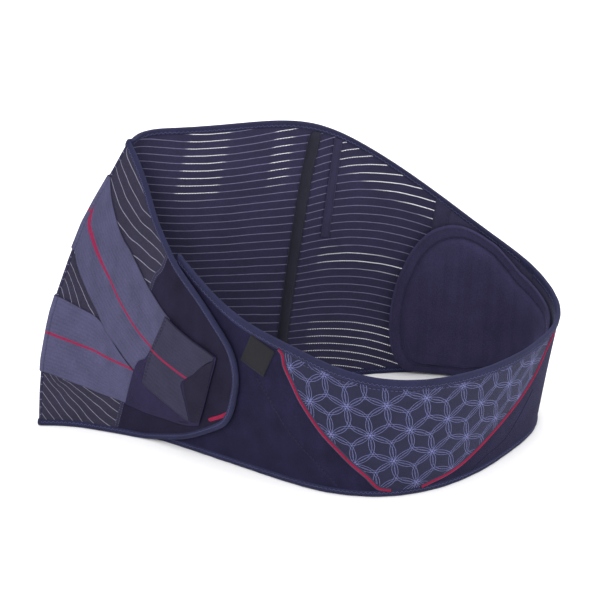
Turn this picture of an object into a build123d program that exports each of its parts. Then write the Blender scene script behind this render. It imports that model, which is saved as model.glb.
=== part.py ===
from build123d import *
import os
import math
import numpy as np

# Lumbar support belt, worn open size M, closed into its teardrop loop and
# standing on its lower edge.  Millimetres.  +Z up, the patterned front panel
# faces -Y, the slanted fold of the closing flap is on the -X side.
# Origin: centre of the bounding box, on the plane the lower edge stands on.

# ---------------------------------------------------------------- dimensions
SHIFT_X = 13.813            # loop stations are stored about the loop's own datum
SHIFT_Y = 71.720
PANEL_T = 2.4             # laminated panel: lining, mesh and face cloth
BIND_T = 4.2              # folded edge tape over the panel edge
BIND_H = 6.0              # height of the edge tape
LAYER = 0.2               # gap between layers sewn on each other
STRAP_T = 1.2             # elastic strap
TAB_T = 1.4               # laminated end of the straps
HOOK_T = 1.0              # hook tape
CASE_W = 9.0              # slim stay casing, width
CASE_T = 2.6              # and thickness
STAY_W = 6.0              # flat stay in the slim casing
STAY_T = 0.9
WIDE_STAY_W = 12.0        # flat stay in the wide outer casings
FOLD_R = 2.3              # edge casing that runs up the fold
PAD_T = 8.0               # padded insert
PAD_SKIN = 1.0
SUB = 3                   # facets between two stations

# Loop wall: x, y, z of the lower edge, then of the upper edge, from the fold
# round the tall back, the right end and the low front to the inner end that
# lies under the flap.
WALL = [
    (-211, 21.5, 0, -125, 19, 235), (-204, 25, 0, -120, 24, 236),
    (-160, 28, 0, -90, 23, 238.5), (-89, 28, 0, -38, 15, 240),
    (-13, 25, 0, 15, 6, 236.5), (43, 23, 0, 60, 8, 212),
    (96, 15, 0, 111, 2, 174), (139, -3, 0, 155, -21, 139),
    (168, -33, 0, 179, -48, 120), (178, -66, 0, 184.5, -83, 108.5),
    (169, -98, 0, 174, -112, 103), (141, -124, 0, 147, -138, 101),
    (96, -150, 0, 105, -162, 101), (54, -162, 0, 59, -174, 102),
    (16, -160, 0, 17, -171.2, 104.5), (-20, -144, 0, -16.9, -154.5, 110),
    (-51, -116, 0, -44.5, -124.6, 117.5), (-79, -85, 0, -70.4, -94.7, 127),
    (-107, -54, 0, -91.1, -62.5, 143), (-129, -30, 0, -106.5, -36.3, 161.5)]
# Flap: from the fold to its rounded tip, lying on the front panel's left end.
FLAP = [
    (-214, 17, 0, -129, 15, 234), (-192, 8.5, 0, -125.5, 5, 223),
    (-170, -5, 0, -121, -6, 204.5), (-148.5, -20, 0, -116.5, -19, 178.5),
    (-136, -30, 0.8, -113, -31, 166), (-124, -42, 5, -109, -42.5, 155.4),
    (-108, -59.7, 13.6, -97.6, -62.3, 136.6), (-94.7, -74.3, 25, -87.6, -79.3, 118.4),
    (-84.8, -86, 37.2, -79.7, -91.1, 100.8), (-79.2, -92.3, 54.3, -76.4, -95.6, 78)]
FOLD_LOW = (-213.0, 19.3, 0.0)          # axis of the fold casing
FOLD_HIGH = (-127.6, 17.0, 235.0)

# Positions along each sheet are fractions of its length, heights are
# fractions of the local height.
S_SIDE = 0.3620           # mesh ends, plain side panel begins
S_JOIN = 0.4647           # back and front are joined here
S_STAY = 0.2114           # slim inner stay casing
S_TENSOR_R = 0.292        # root of the right tensor
S_TENSOR_L = 0.050        # root of the left tensor, on the flap
PIPE_L = [(0.8665, 0.930), (0.8624, 0.849), (0.8546, 0.763), (0.8446, 0.656), (0.8333, 0.565),
          (0.8189, 0.462), (0.8046, 0.375), (0.7902, 0.274), (0.7770, 0.184), (0.7627, 0.085)]
PIPE_R = [(0.5685, 0.950), (0.5770, 0.838), (0.5880, 0.690), (0.6083, 0.540), (0.6300, 0.435),
          (0.6517, 0.327), (0.6683, 0.238), (0.6833, 0.165), (0.7000, 0.112), (0.7130, 0.085)]
FLAP_SEAM = [(0.290, 0.0), (0.310, 0.250), (0.340, 0.520), (0.370, 0.743), (0.4275, 0.881), (0.452, 1.0)]
UP_HI = [(0.0, 0.885), (0.0393, 0.830), (0.0965, 0.761), (0.2051, 0.730), (0.3488, 0.714), (0.4189, 0.707),
         (0.4968, 0.692), (0.6648, 0.692), (0.8025, 0.737)]
UP_LO = [(0.0, 0.645), (0.0093, 0.614), (0.0443, 0.533), (0.1122, 0.431), (0.2345, 0.357), (0.3946, 0.288), (0.45, 0.260)]
LO_HI = [(0.0, 0.485), (0.0493, 0.452), (0.1122, 0.422), (0.2345, 0.347), (0.3946, 0.278), (0.45, 0.250)]
LO_LO = [(0.0, 0.210), (0.0622, 0.178), (0.1515, 0.158), (0.3181, 0.151), (0.4946, 0.135), (0.6698, 0.100), (0.7298, 0.095)]
TAB_SEAM = [(0.318, 0.151), (0.345, 0.285), (0.4174, 0.448), (0.4918, 0.676), (0.500, 0.690)]
TAB_END = [(0.7298, 0.131), (0.7498, 0.266), (0.7720, 0.459), (0.7960, 0.665), (0.8025, 0.717)]
BACK_UP_HI = [(0.004, 0.880), (0.040, 0.800), (0.075, 0.757), (0.105, 0.753), (0.165, 0.765), (0.190, 0.790), (0.243, 0.885), (0.261, 0.869), (0.292, 0.857)]
BACK_UP_LO = [(0.004, 0.645), (0.050, 0.560), (0.100, 0.500), (0.164, 0.488), (0.196, 0.492), (0.223, 0.546), (0.266, 0.569), (0.292, 0.577)]
BACK_LO_HI = [(0.004, 0.485), (0.050, 0.440), (0.100, 0.400), (0.170, 0.375), (0.200, 0.390), (0.226, 0.469), (0.269, 0.496), (0.292, 0.507)]
BACK_LO_LO = [(0.004, 0.210), (0.100, 0.205), (0.226, 0.255), (0.292, 0.257)]


# ------------------------------------------------------------------ geometry
def spline(rows, n_between):
    """Smooth interpolation of the station rows; returns fractions and rows."""
    P = np.asarray(rows, float)
    k = np.r_[0, np.cumsum(np.linalg.norm(np.diff(P, axis=0), axis=1))]
    m, h = len(P), np.diff(k)
    A, R = np.zeros((m, m)), np.zeros_like(P)
    A[0, 0] = A[-1, -1] = 1
    for i in range(1, m - 1):
        A[i, i - 1], A[i, i], A[i, i + 1] = h[i - 1], 2 * (h[i - 1] + h[i]), h[i]
        R[i] = 6 * ((P[i + 1] - P[i]) / h[i] - (P[i] - P[i - 1]) / h[i - 1])
    M = np.linalg.solve(A, R)
    x = np.concatenate([np.linspace(k[i], k[i + 1], n_between, endpoint=False) for i in range(m - 1)] + [[k[-1]]])
    i = np.clip(np.searchsorted(k, x, side="right") - 1, 0, m - 2)
    a, b, H = ((k[i + 1] - x) / h[i])[:, None], ((x - k[i]) / h[i])[:, None], h[i][:, None]
    return x / k[-1], a * P[i] + b * P[i + 1] + ((a ** 3 - a) * M[i] + (b ** 3 - b) * M[i + 1]) * H * H / 6


class Sheet:
    """A ruled sheet between a lower and an upper edge, with a level normal."""

    def __init__(self, rows, outward):
        rows = [(r[0] + SHIFT_X, r[1] + SHIFT_Y, r[2], r[3] + SHIFT_X, r[4] + SHIFT_Y, r[5]) for r in rows]
        self.s, self.W = spline(rows, SUB)
        self.W[:, 2] = np.maximum(self.W[:, 2], 0)
        mid = (self.W[:, :3] + self.W[:, 3:]) / 2
        tan = np.gradient(mid, axis=0)
        nor = np.cross(self.W[:, 3:] - self.W[:, :3], tan)
        nor[:, 2] = 0
        nor /= np.linalg.norm(nor, axis=1)[:, None]
        if nor[len(nor) // 2] @ np.array(outward) < 0:
            nor = -nor
        self.N = nor

    def _row(self, T, s):
        return np.array([np.interp(s, self.s, T[:, c]) for c in range(T.shape[1])])

    def point(self, s, t, off=0.0):
        w = self._row(self.W, s)
        return w[:3] * (1 - t) + w[3:] * t + self.normal(s) * off

    def normal(self, s):
        return self._row(self.N, s)

    def height(self, s):
        w = self._row(self.W, s)
        return float(np.linalg.norm(w[3:] - w[:3]))

    def stations(self, s0, s1, extra=()):
        xs = [s0] + [x for x in self.s if s0 < x < s1] + [x for x in extra if s0 < x < s1] + [s1]
        xs.sort()
        keep = [xs[0]]
        for x in xs[1:]:
            if x - keep[-1] > 0.0012:
                keep.append(x)
        if keep[-1] != s1:
            keep[-1] = s1
        return keep


def limit(v, s):
    if callable(v):
        return float(v(s))
    if isinstance(v, (int, float)):
        return float(v)
    return float(np.interp(s, [p[0] for p in v], [p[1] for p in v]))


def vec(p):
    return Vector(float(p[0]), float(p[1]), float(p[2]))


def quads(sections):
    wires = [Wire.make_polygon([vec(p) for p in q], close=True) for q in sections]
    return Solid.make_loft(wires, ruled=True)


def band(sheet, s0, s1, lo, hi, o0, o1, extra=()):
    """Solid layer on a sheet between two heights and two offsets."""
    more = list(extra)
    for v in (lo, hi):
        if isinstance(v, list):
            more += [p[0] for p in v]
    out = []
    for s in sheet.stations(s0, s1, more):
        a, b = limit(lo, s), limit(hi, s)
        out.append([sheet.point(s, a, o0), sheet.point(s, a, o1), sheet.point(s, b, o1), sheet.point(s, b, o0)])
    return quads(out)


def strip(sheet, path, half, o0, o1, step=5.0):
    """Narrow tape of constant width along a path of (fraction, height) points."""
    dense = [path[0]]
    for (s0, t0), (s1, t1) in zip(path, path[1:]):
        n = max(1, int(np.linalg.norm(sheet.point(s1, t1) - sheet.point(s0, t0)) / step))
        dense += [(s0 + (s1 - s0) * i / n, t0 + (t1 - t0) * i / n) for i in range(1, n + 1)]
    C = np.array([sheet.point(s, t) for s, t in dense])
    T = np.gradient(C, axis=0)
    out = []
    for (s, t), c, d in zip(dense, C, T):
        n = sheet.normal(s)
        b = np.cross(n, d)
        b /= np.linalg.norm(b)
        out.append([c - b * half + n * o0, c - b * half + n * o1, c + b * half + n * o1, c + b * half + n * o0])
    return quads(out)


def bar(sheet, s, t0, t1, half, o0, o1):
    """Straight bar that stands along one generatrix of a sheet."""
    n = sheet.normal(s)
    b = np.cross(n, [0, 0, 1.0])
    out = []
    for t in (t0, t1):
        c = sheet.point(s, t)
        out.append([c - b * half + n * o0, c - b * half + n * o1, c + b * half + n * o1, c + b * half + n * o0])
    return quads(out)


def on_floor(solid):
    """Trim the lower edge level, on the plane that the belt stands on."""
    return split(solid, bisect_by=Plane.XY, keep=Keep.TOP)


def save(name, shape):
    export_step(shape, "parts/" + name + ".step")


os.makedirs("parts", exist_ok=True)
wall = Sheet(WALL, (0, -1, 0))
flap = Sheet(FLAP, (-1, -1, 0))
H = PANEL_T / 2
B = BIND_T / 2
low = lambda sh: (lambda s: (BIND_H + LAYER) / sh.height(s))
top = lambda sh: (lambda s: 1 - (BIND_H + LAYER) / sh.height(s))
inside = lambda sh, mm: (lambda s: mm / sh.height(s))
below = lambda sh, mm: (lambda s: 1 - mm / sh.height(s))

# ------------------------------------------------------------- back and side
save("back_mesh_panel", band(wall, 0.0, S_SIDE, low(wall), top(wall), -H, H))
save("side_panel", band(wall, S_SIDE + 0.0003, S_JOIN - 0.0007, low(wall), top(wall), -H, H))
save("back_top_binding", band(wall, 0.0, S_JOIN - 0.0007, below(wall, BIND_H), 1.0, -B, B))
save("back_bottom_binding", on_floor(band(wall, 0.0, S_JOIN - 0.0007, inside(wall, -2.0), inside(wall, BIND_H), -B, B)))
save("side_facing", band(wall, 0.3520, 0.3720, inside(wall, 8), below(wall, 8), -H - LAYER - 0.6, -H - LAYER))

# slim stay casing on the inside of the back, open pocket for its flat stay
o_in = -H - LAYER - CASE_T
case = bar(wall, S_STAY, 0.036, 0.962, CASE_W / 2, o_in - 0.2, -H - LAYER - 0.2)
pocket = bar(wall, S_STAY, 0.040, 0.958, STAY_W / 2 + 0.3, o_in + 0.6, -H - LAYER - 1.0)
save("inner_stay_casing", case - pocket)
save("inner_stay", bar(wall, S_STAY, 0.042, 0.956, STAY_W / 2, o_in + 0.7, o_in + 0.7 + STAY_T - 0.1))

# wide casings on the outside of the back, each with its flat stay
for name, s0, s1 in (("centre", 0.1180, 0.1645), ("spine", 0.1905, 0.2310)):
    sm = (s0 + s1) / 2
    case = band(wall, s0, s1, inside(wall, 8), below(wall, 8), H + LAYER, H + LAYER + 2.4)
    pocket = bar(wall, sm, 0.05, 0.95, WIDE_STAY_W / 2 + 0.4, H + LAYER + 0.7, H + LAYER + 1.8)
    save(name + "_stay_casing", case - pocket)
    save(name + "_stay", bar(wall, sm, 0.053, 0.947, WIDE_STAY_W / 2, H + LAYER + 0.85, H + LAYER + 1.65))

# edge casing that stiffens the fold
fa = np.array(FOLD_LOW) + (SHIFT_X, SHIFT_Y, 0)
fb = np.array(FOLD_HIGH) + (SHIFT_X, SHIFT_Y, 0)
fd = (fb - fa) / np.linalg.norm(fb - fa)
flen = float(np.linalg.norm(fb - fa))
rod_a, rod_b = fa + fd * 2.5, fb - fd * 1.0
fold_axis = Plane(origin=vec(rod_a), z_dir=vec(fd))
rod_len = float(np.linalg.norm(rod_b - rod_a))
tube = fold_axis * (Cylinder(FOLD_R, rod_len, align=(Align.CENTER, Align.CENTER, Align.MIN))
                    - Pos(0, 0, 2) * Cylinder(1.35, rod_len - 4, align=(Align.CENTER, Align.CENTER, Align.MIN)))
save("fold_stay_casing", tube)
save("fold_stay", fold_axis * (Pos(0, 0, 2.5) * Cylinder(1.1, rod_len - 5, align=(Align.CENTER, Align.CENTER, Align.MIN))))

# elastic straps, sewn on across the back over the casings
o_str = H + LAYER + 2.4 + LAYER
S_END = S_TENSOR_R - 0.0012
save("upper_strap_back", band(wall, 0.004, S_END, BACK_UP_LO, BACK_UP_HI, o_str, o_str + STRAP_T))
save("lower_strap_back", band(wall, 0.004, S_END, BACK_LO_LO, BACK_LO_HI, o_str, o_str + STRAP_T))

# ---------------------------------------------------------------------- front
F0, F1 = S_JOIN + 0.0007, 1.0
g = 0.008
pipe_l = sorted(PIPE_L)
pipe_r = sorted(PIPE_R)
tl = lambda s: np.interp(s, [0.757] + [p[0] for p in pipe_l] + [0.8662], [0.03] + [p[1] for p in pipe_l] + [1.0])
tr = lambda s: np.interp(s, [0.5665] + [p[0] for p in pipe_r] + [0.723], [1.0] + [p[1] for p in pipe_r] + [0.03])
pts = [p[0] for p in pipe_l] + [p[0] for p in pipe_r]
LOW, TOP = low(wall), top(wall)
save("front_panel_left", band(wall, 0.7680, F1, LOW, lambda s: max(LOW(s) + 0.012, min(TOP(s), tl(s) - g)), -H, H, pts + [0.8662]))
save("front_panel_right", band(wall, F0, 0.7100, LOW, lambda s: max(LOW(s) + 0.012, min(TOP(s), tr(s) - 2 * g)), -H, H, pts + [0.5665]))
save("front_pattern_panel", band(wall, 0.5700, 0.8625,
     lambda s: min(TOP(s) - 0.012, max(LOW(s), tl(s) + g if s > 0.74 else tr(s) + g)), TOP, -H, H, pts))
save("piping_left", strip(wall, [(s, min(t, 0.93)) for s, t in PIPE_L], 1.5, H + LAYER + 0.2, H + LAYER + 1.6))
save("piping_right", strip(wall, [(s, min(t, 0.93)) for s, t in PIPE_R], 1.5, H + LAYER + 0.2, H + LAYER + 1.6))
save("front_top_binding", band(wall, F0, F1, below(wall, BIND_H), 1.0, -B, B))
save("front_bottom_binding", on_floor(band(wall, F0, F1, inside(wall, -2.0), inside(wall, BIND_H), -B, B)))
save("blank_label", strip(wall, [(0.8860, 0.922), (0.8955, 0.736)], 11.0, B + LAYER, B + LAYER + 0.6, 9.0))

# ----------------------------------------------------------------------- flap
P0 = 0.022
FL, FT = low(flap), below(flap, 8.5)
seam = lambda s: float(np.interp(s, [p[0] for p in FLAP_SEAM], [p[1] for p in FLAP_SEAM]))
sx = [p[0] for p in FLAP_SEAM]
save("flap_mesh_panel", band(flap, P0, 0.4400, lambda s: min(FT(s) - 0.015, max(FL(s), seam(s) + 0.008 if s > 0.290 else 0)), FT, -H, H, sx))
save("closure_tongue", band(flap, 0.2950, 0.985, FL, lambda s: max(FL(s) + 0.015, min(FT(s), seam(s) - 0.008 if s < 0.452 else 1)), -H, H, sx))
save("flap_top_binding", band(flap, P0, 0.985, below(flap, 8.3), 1.0, -B, B))
save("flap_bottom_binding", on_floor(band(flap, P0, 0.985, inside(flap, -2.0), inside(flap, BIND_H), -B, B)))
save("flap_tip_binding", band(flap, 0.9875, 1.0, 0.0, 1.0, -B, B))
save("flap_hook_patch", band(flap, 0.640, 0.900, 0.20, 0.74, -H - LAYER - HOOK_T, -H - LAYER))
S_WRAP = S_TENSOR_L - 0.0035
o1 = H + LAYER
save("upper_strap_wrap", band(flap, P0, S_WRAP, UP_LO, UP_HI, o1, o1 + STRAP_T))
save("lower_strap_wrap", band(flap, P0, S_WRAP, LO_LO, LO_HI, o1, o1 + STRAP_T))

# ---------------------------------------------------------------- left tensor
o2 = H + LAYER + 0.3
tab_seam = lambda s: float(np.interp(s, [p[0] for p in TAB_SEAM], [p[1] for p in TAB_SEAM]))
tab_end = lambda s: float(np.interp(s, [p[0] for p in TAB_END], [p[1] for p in TAB_END]))
ts = [p[0] for p in TAB_SEAM]
up_lo, up_hi = (lambda s: limit(UP_LO, s)), (lambda s: limit(UP_HI, s))
lap = 0.02
save("upper_strap", band(flap, S_TENSOR_L, 0.5200, lambda s: min(up_hi(s) - 0.02, max(up_lo(s), tab_seam(s - lap) if s > 0.40 + lap else 0)), UP_HI, o2, o2 + STRAP_T, ts))
save("lower_strap", band(flap, S_TENSOR_L, 0.4000, LO_LO, LO_HI, o2, o2 + STRAP_T))
o3 = o2 + STRAP_T + LAYER
tab_lo = lambda s: limit(LO_LO, s) if s <= 0.7298 else tab_end(s)
tab_hi = lambda s: min(tab_seam(s), up_hi(s)) if s < 0.510 else up_hi(s)
te = [p[0] for p in TAB_END]
save("tensor_tab", band(flap, 0.3620, 0.8020, tab_lo, tab_hi, o3, o3 + TAB_T, ts + te))
save("tab_hook_patch", band(flap, 0.545, 0.730, 0.265, 0.660, o2, o2 + HOOK_T))
o4 = o3 + TAB_T + LAYER
save("tab_grip_patches", Compound([
    band(flap, 0.645, 0.785, lambda s: max(tab_lo(s) + 0.05, np.interp(s, [0.645, 0.700], [0.430, 0.200])),
         lambda s: np.interp(s, [0.645, 0.785], [0.450, 0.690]), o4, o4 + 0.5, [0.660, 0.700, 0.745])]))
save("tab_mark_bar", band(flap, 0.590, 0.680, lambda s: limit(LO_LO, s) + 0.020, lambda s: limit(LO_LO, s) + 0.045, o4, o4 + 0.4))

# --------------------------------------------------------------- right tensor
R0, R1 = S_TENSOR_R, 0.418
save("right_upper_strap", band(wall, R0, 0.372, [(R0, 0.577), (0.372, 0.595)], [(R0, 0.857), (0.346, 0.823), (0.372, 0.805)], o_str, o_str + STRAP_T))
save("right_lower_strap", band(wall, R0, 0.372, [(R0, 0.257), (0.372, 0.285)], [(R0, 0.507), (0.372, 0.545)], o_str, o_str + STRAP_T))
save("right_tensor_tab", band(wall, 0.362, R1, [(0.362, 0.290), (0.405, 0.330), (R1, 0.430)], [(0.362, 0.805), (0.405, 0.770), (R1, 0.670)],
                              o_str + STRAP_T + LAYER, o_str + STRAP_T + LAYER + TAB_T))
save("right_tab_hook_patch", band(wall, 0.3740, 0.406, 0.39, 0.71, o_str + 0.2, o_str + STRAP_T))

# ----------------------------------------------------------------- pad insert
PAD_C, PAD_A, PAD_B = 0.4660, 0.1437, 0.1330
PAD_UP = [(0.3223, 0.395), (0.3251, 0.495), (0.3291, 0.561), (0.3359, 0.655), (0.3444, 0.735), (0.3532, 0.800), (0.3651, 0.865), (0.3770, 0.915), (0.3895, 0.955), (0.4020, 0.978), (0.4200, 0.985)]
PAD_DN = [(0.3223, 0.345), (0.3248, 0.226), (0.3316, 0.132), (0.3378, 0.082), (0.3464, 0.042), (0.3600, 0.020), (0.3750, 0.015)]
o_hook = -H - LAYER - 1.1
o_pad = o_hook - HOOK_T - LAYER


def outline(table, da, dt):
    """Edge of the pad at s, drawn in by da along the belt and dt across it; the far half is shorter and lower, so that it clears the front's edge tapes."""
    def edge(s):
        if s <= PAD_C:
            x = PAD_C - (PAD_C - s) * PAD_A / (PAD_A - da)
        else:
            x = PAD_C - (s - PAD_C) * PAD_A / (PAD_B - da)
        t = float(np.interp(x, [p[0] for p in table], [p[1] for p in table]))
        k = min(max((s - 0.425) / 0.035, 0.0), 1.0)
        return 0.5 + (t - 0.5) * (1.0 - 0.125 * k) - dt
    return edge


def mirrored(da):
    k, kb = (PAD_A - da) / PAD_A, (PAD_B - da) / PAD_A
    xs = [p[0] for p in PAD_UP + PAD_DN]
    return sorted([PAD_C - (PAD_C - x) * k for x in xs] + [PAD_C + (PAD_C - x) * kb for x in xs] + [0.425, 0.437, 0.449, 0.460])


def oval_band(da, dt, o0, o1):
    lo, hi = PAD_C - (PAD_A - da) * 0.998, PAD_C + (PAD_B - da) * 0.998
    return band(wall, lo, hi, outline(PAD_DN, da, -dt), outline(PAD_UP, da, dt), o0, o1, mirrored(da))


cover = oval_band(0.0, 0.0, o_pad - PAD_T, o_pad)
hollow = oval_band(0.0040, 0.022, o_pad - PAD_T + PAD_SKIN, o_pad - PAD_SKIN)
save("pad_cover", cover - hollow)
save("pad_core", oval_band(0.0056, 0.028, o_pad - PAD_T + PAD_SKIN + 0.25, o_pad - PAD_SKIN - 0.25))
save("pad_hook_patch", band(wall, 0.400, 0.450, 0.30, 0.70, o_hook - HOOK_T, o_hook))
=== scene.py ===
# Lumbar support belt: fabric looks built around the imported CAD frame.
import bpy
import math
import numpy as np
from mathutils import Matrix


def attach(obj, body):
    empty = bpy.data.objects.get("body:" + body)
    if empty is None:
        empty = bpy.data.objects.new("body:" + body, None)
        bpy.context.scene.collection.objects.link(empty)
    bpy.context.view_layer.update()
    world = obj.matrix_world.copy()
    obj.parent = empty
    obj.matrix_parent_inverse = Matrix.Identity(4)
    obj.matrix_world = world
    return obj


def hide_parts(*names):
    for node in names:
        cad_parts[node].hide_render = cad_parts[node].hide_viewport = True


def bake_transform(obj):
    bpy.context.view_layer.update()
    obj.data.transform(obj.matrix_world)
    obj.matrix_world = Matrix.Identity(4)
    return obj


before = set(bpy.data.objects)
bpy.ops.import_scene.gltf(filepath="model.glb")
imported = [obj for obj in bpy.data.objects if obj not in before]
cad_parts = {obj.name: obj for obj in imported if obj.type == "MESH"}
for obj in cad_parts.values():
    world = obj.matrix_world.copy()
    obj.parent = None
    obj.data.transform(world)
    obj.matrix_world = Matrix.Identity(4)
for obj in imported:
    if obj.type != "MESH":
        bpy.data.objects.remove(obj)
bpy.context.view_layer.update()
MM = 0.001

# ------------------------------------------------------------- camera, stage
SX, SY = 13.813, 71.720
cam_data = bpy.data.cameras.new("camera")
cam_data.lens = 85
cam_data.sensor_width = 36
cam = bpy.data.objects.new("camera", cam_data)
bpy.context.scene.collection.objects.link(cam)
az, el, dist = math.radians(-17), math.radians(26), 1.15
back = np.array([math.sin(az) * math.cos(el), -math.cos(az) * math.cos(el), math.sin(el)])
target = np.array([SX * MM, SY * MM, 0.09])
cam.location = tuple(target + back * dist)
from mathutils import Vector, Matrix
cam.rotation_euler = Vector(tuple(-back)).to_track_quat("-Z", "Y").to_euler()
bpy.context.scene.camera = cam
bpy.context.scene.view_settings.view_transform = "Standard"


# ------------------------------------------------------------------- numbers
WALL = [
    (-211, 21.5, 0, -125, 19, 235), (-204, 25, 0, -120, 24, 236),
    (-160, 28, 0, -90, 23, 238.5), (-89, 28, 0, -38, 15, 240),
    (-13, 25, 0, 15, 6, 236.5), (43, 23, 0, 60, 8, 212),
    (96, 15, 0, 111, 2, 174), (139, -3, 0, 155, -21, 139),
    (168, -33, 0, 179, -48, 120), (178, -66, 0, 184.5, -83, 108.5),
    (169, -98, 0, 174, -112, 103), (141, -124, 0, 147, -138, 101),
    (96, -150, 0, 105, -162, 101), (54, -162, 0, 59, -174, 102),
    (16, -160, 0, 17, -171.2, 104.5), (-20, -144, 0, -16.9, -154.5, 110),
    (-51, -116, 0, -44.5, -124.6, 117.5), (-79, -85, 0, -70.4, -94.7, 127),
    (-107, -54, 0, -91.1, -62.5, 143), (-129, -30, 0, -106.5, -36.3, 161.5)]
FLAP = [
    (-214, 17, 0, -129, 15, 234), (-192, 8.5, 0, -125.5, 5, 223),
    (-170, -5, 0, -121, -6, 204.5), (-148.5, -20, 0, -116.5, -19, 178.5),
    (-136, -30, 0.8, -113, -31, 166), (-124, -42, 5, -109, -42.5, 155.4),
    (-108, -59.7, 13.6, -97.6, -62.3, 136.6), (-94.7, -74.3, 25, -87.6, -79.3, 118.4),
    (-84.8, -86, 37.2, -79.7, -91.1, 100.8), (-79.2, -92.3, 54.3, -76.4, -95.6, 78)]
# the fold stands outward of the straight line between its ends
BULGE_T = [0, .128, .256, .375, .43, .51, .618, .733, .81, .90, 1.0]
BULGE = [0, 8, 14.7, 18.2, 19.2, 19.0, 18.0, 15.6, 11.3, 5.3, 0]
PIPE_L = [(.7535, .0), (.7627, .07), (.777, .184), (.7902, .274), (.8046, .375), (.8189, .462),
          (.8333, .565), (.8446, .656), (.8546, .763), (.8624, .849), (.8665, .93), (.8695, 1.0)]
PIPE_R = [(.7235, .0), (.7130, .085), (.70, .112), (.6833, .165), (.6683, .238), (.6517, .327),
          (.63, .435), (.6083, .540), (.5880, .690), (.5770, .838), (.5640, 1.0)]
FLAP_SEAM = [(.290, 0.), (.310, .25), (.340, .52), (.370, .743), (.4275, .881), (.452, 1.)]


def lin(v, x, xi=0, yi=1):
    v = sorted(v, key=lambda p: p[xi])
    return np.interp(x, [p[xi] for p in v], [p[yi] for p in v])


def smooth_curve(pts, n=160):
    """Resample a list of (s, t) as a smooth curve, evenly in its own length."""
    P = np.array(pts, float)
    k = np.r_[0, np.cumsum(np.hypot(np.diff(P[:, 0]) * 8, np.diff(P[:, 1])))]
    k /= k[-1]
    return hermite(k, P, np.linspace(0, 1, n))


def hermite(k, P, x):
    """Monotone-ish cubic through the rows of P at k."""
    P = np.asarray(P, float)
    m = np.zeros_like(P)
    d = np.diff(P, axis=0) / np.diff(k)[:, None]
    m[1:-1] = (d[1:] * np.diff(k)[:-1, None] + d[:-1] * np.diff(k)[1:, None]) / (k[2:] - k[:-2])[:, None]
    m[0], m[-1] = d[0], d[-1]
    i = np.clip(np.searchsorted(k, x, side="right") - 1, 0, len(k) - 2)
    h = (k[i + 1] - k[i])[:, None]
    u = ((x - k[i]) / (k[i + 1] - k[i]))[:, None]
    return ((2 * u ** 3 - 3 * u ** 2 + 1) * P[i] + (u ** 3 - 2 * u ** 2 + u) * h * m[i]
            + (-2 * u ** 3 + 3 * u ** 2) * P[i + 1] + (u ** 3 - u ** 2) * h * m[i + 1])


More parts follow.
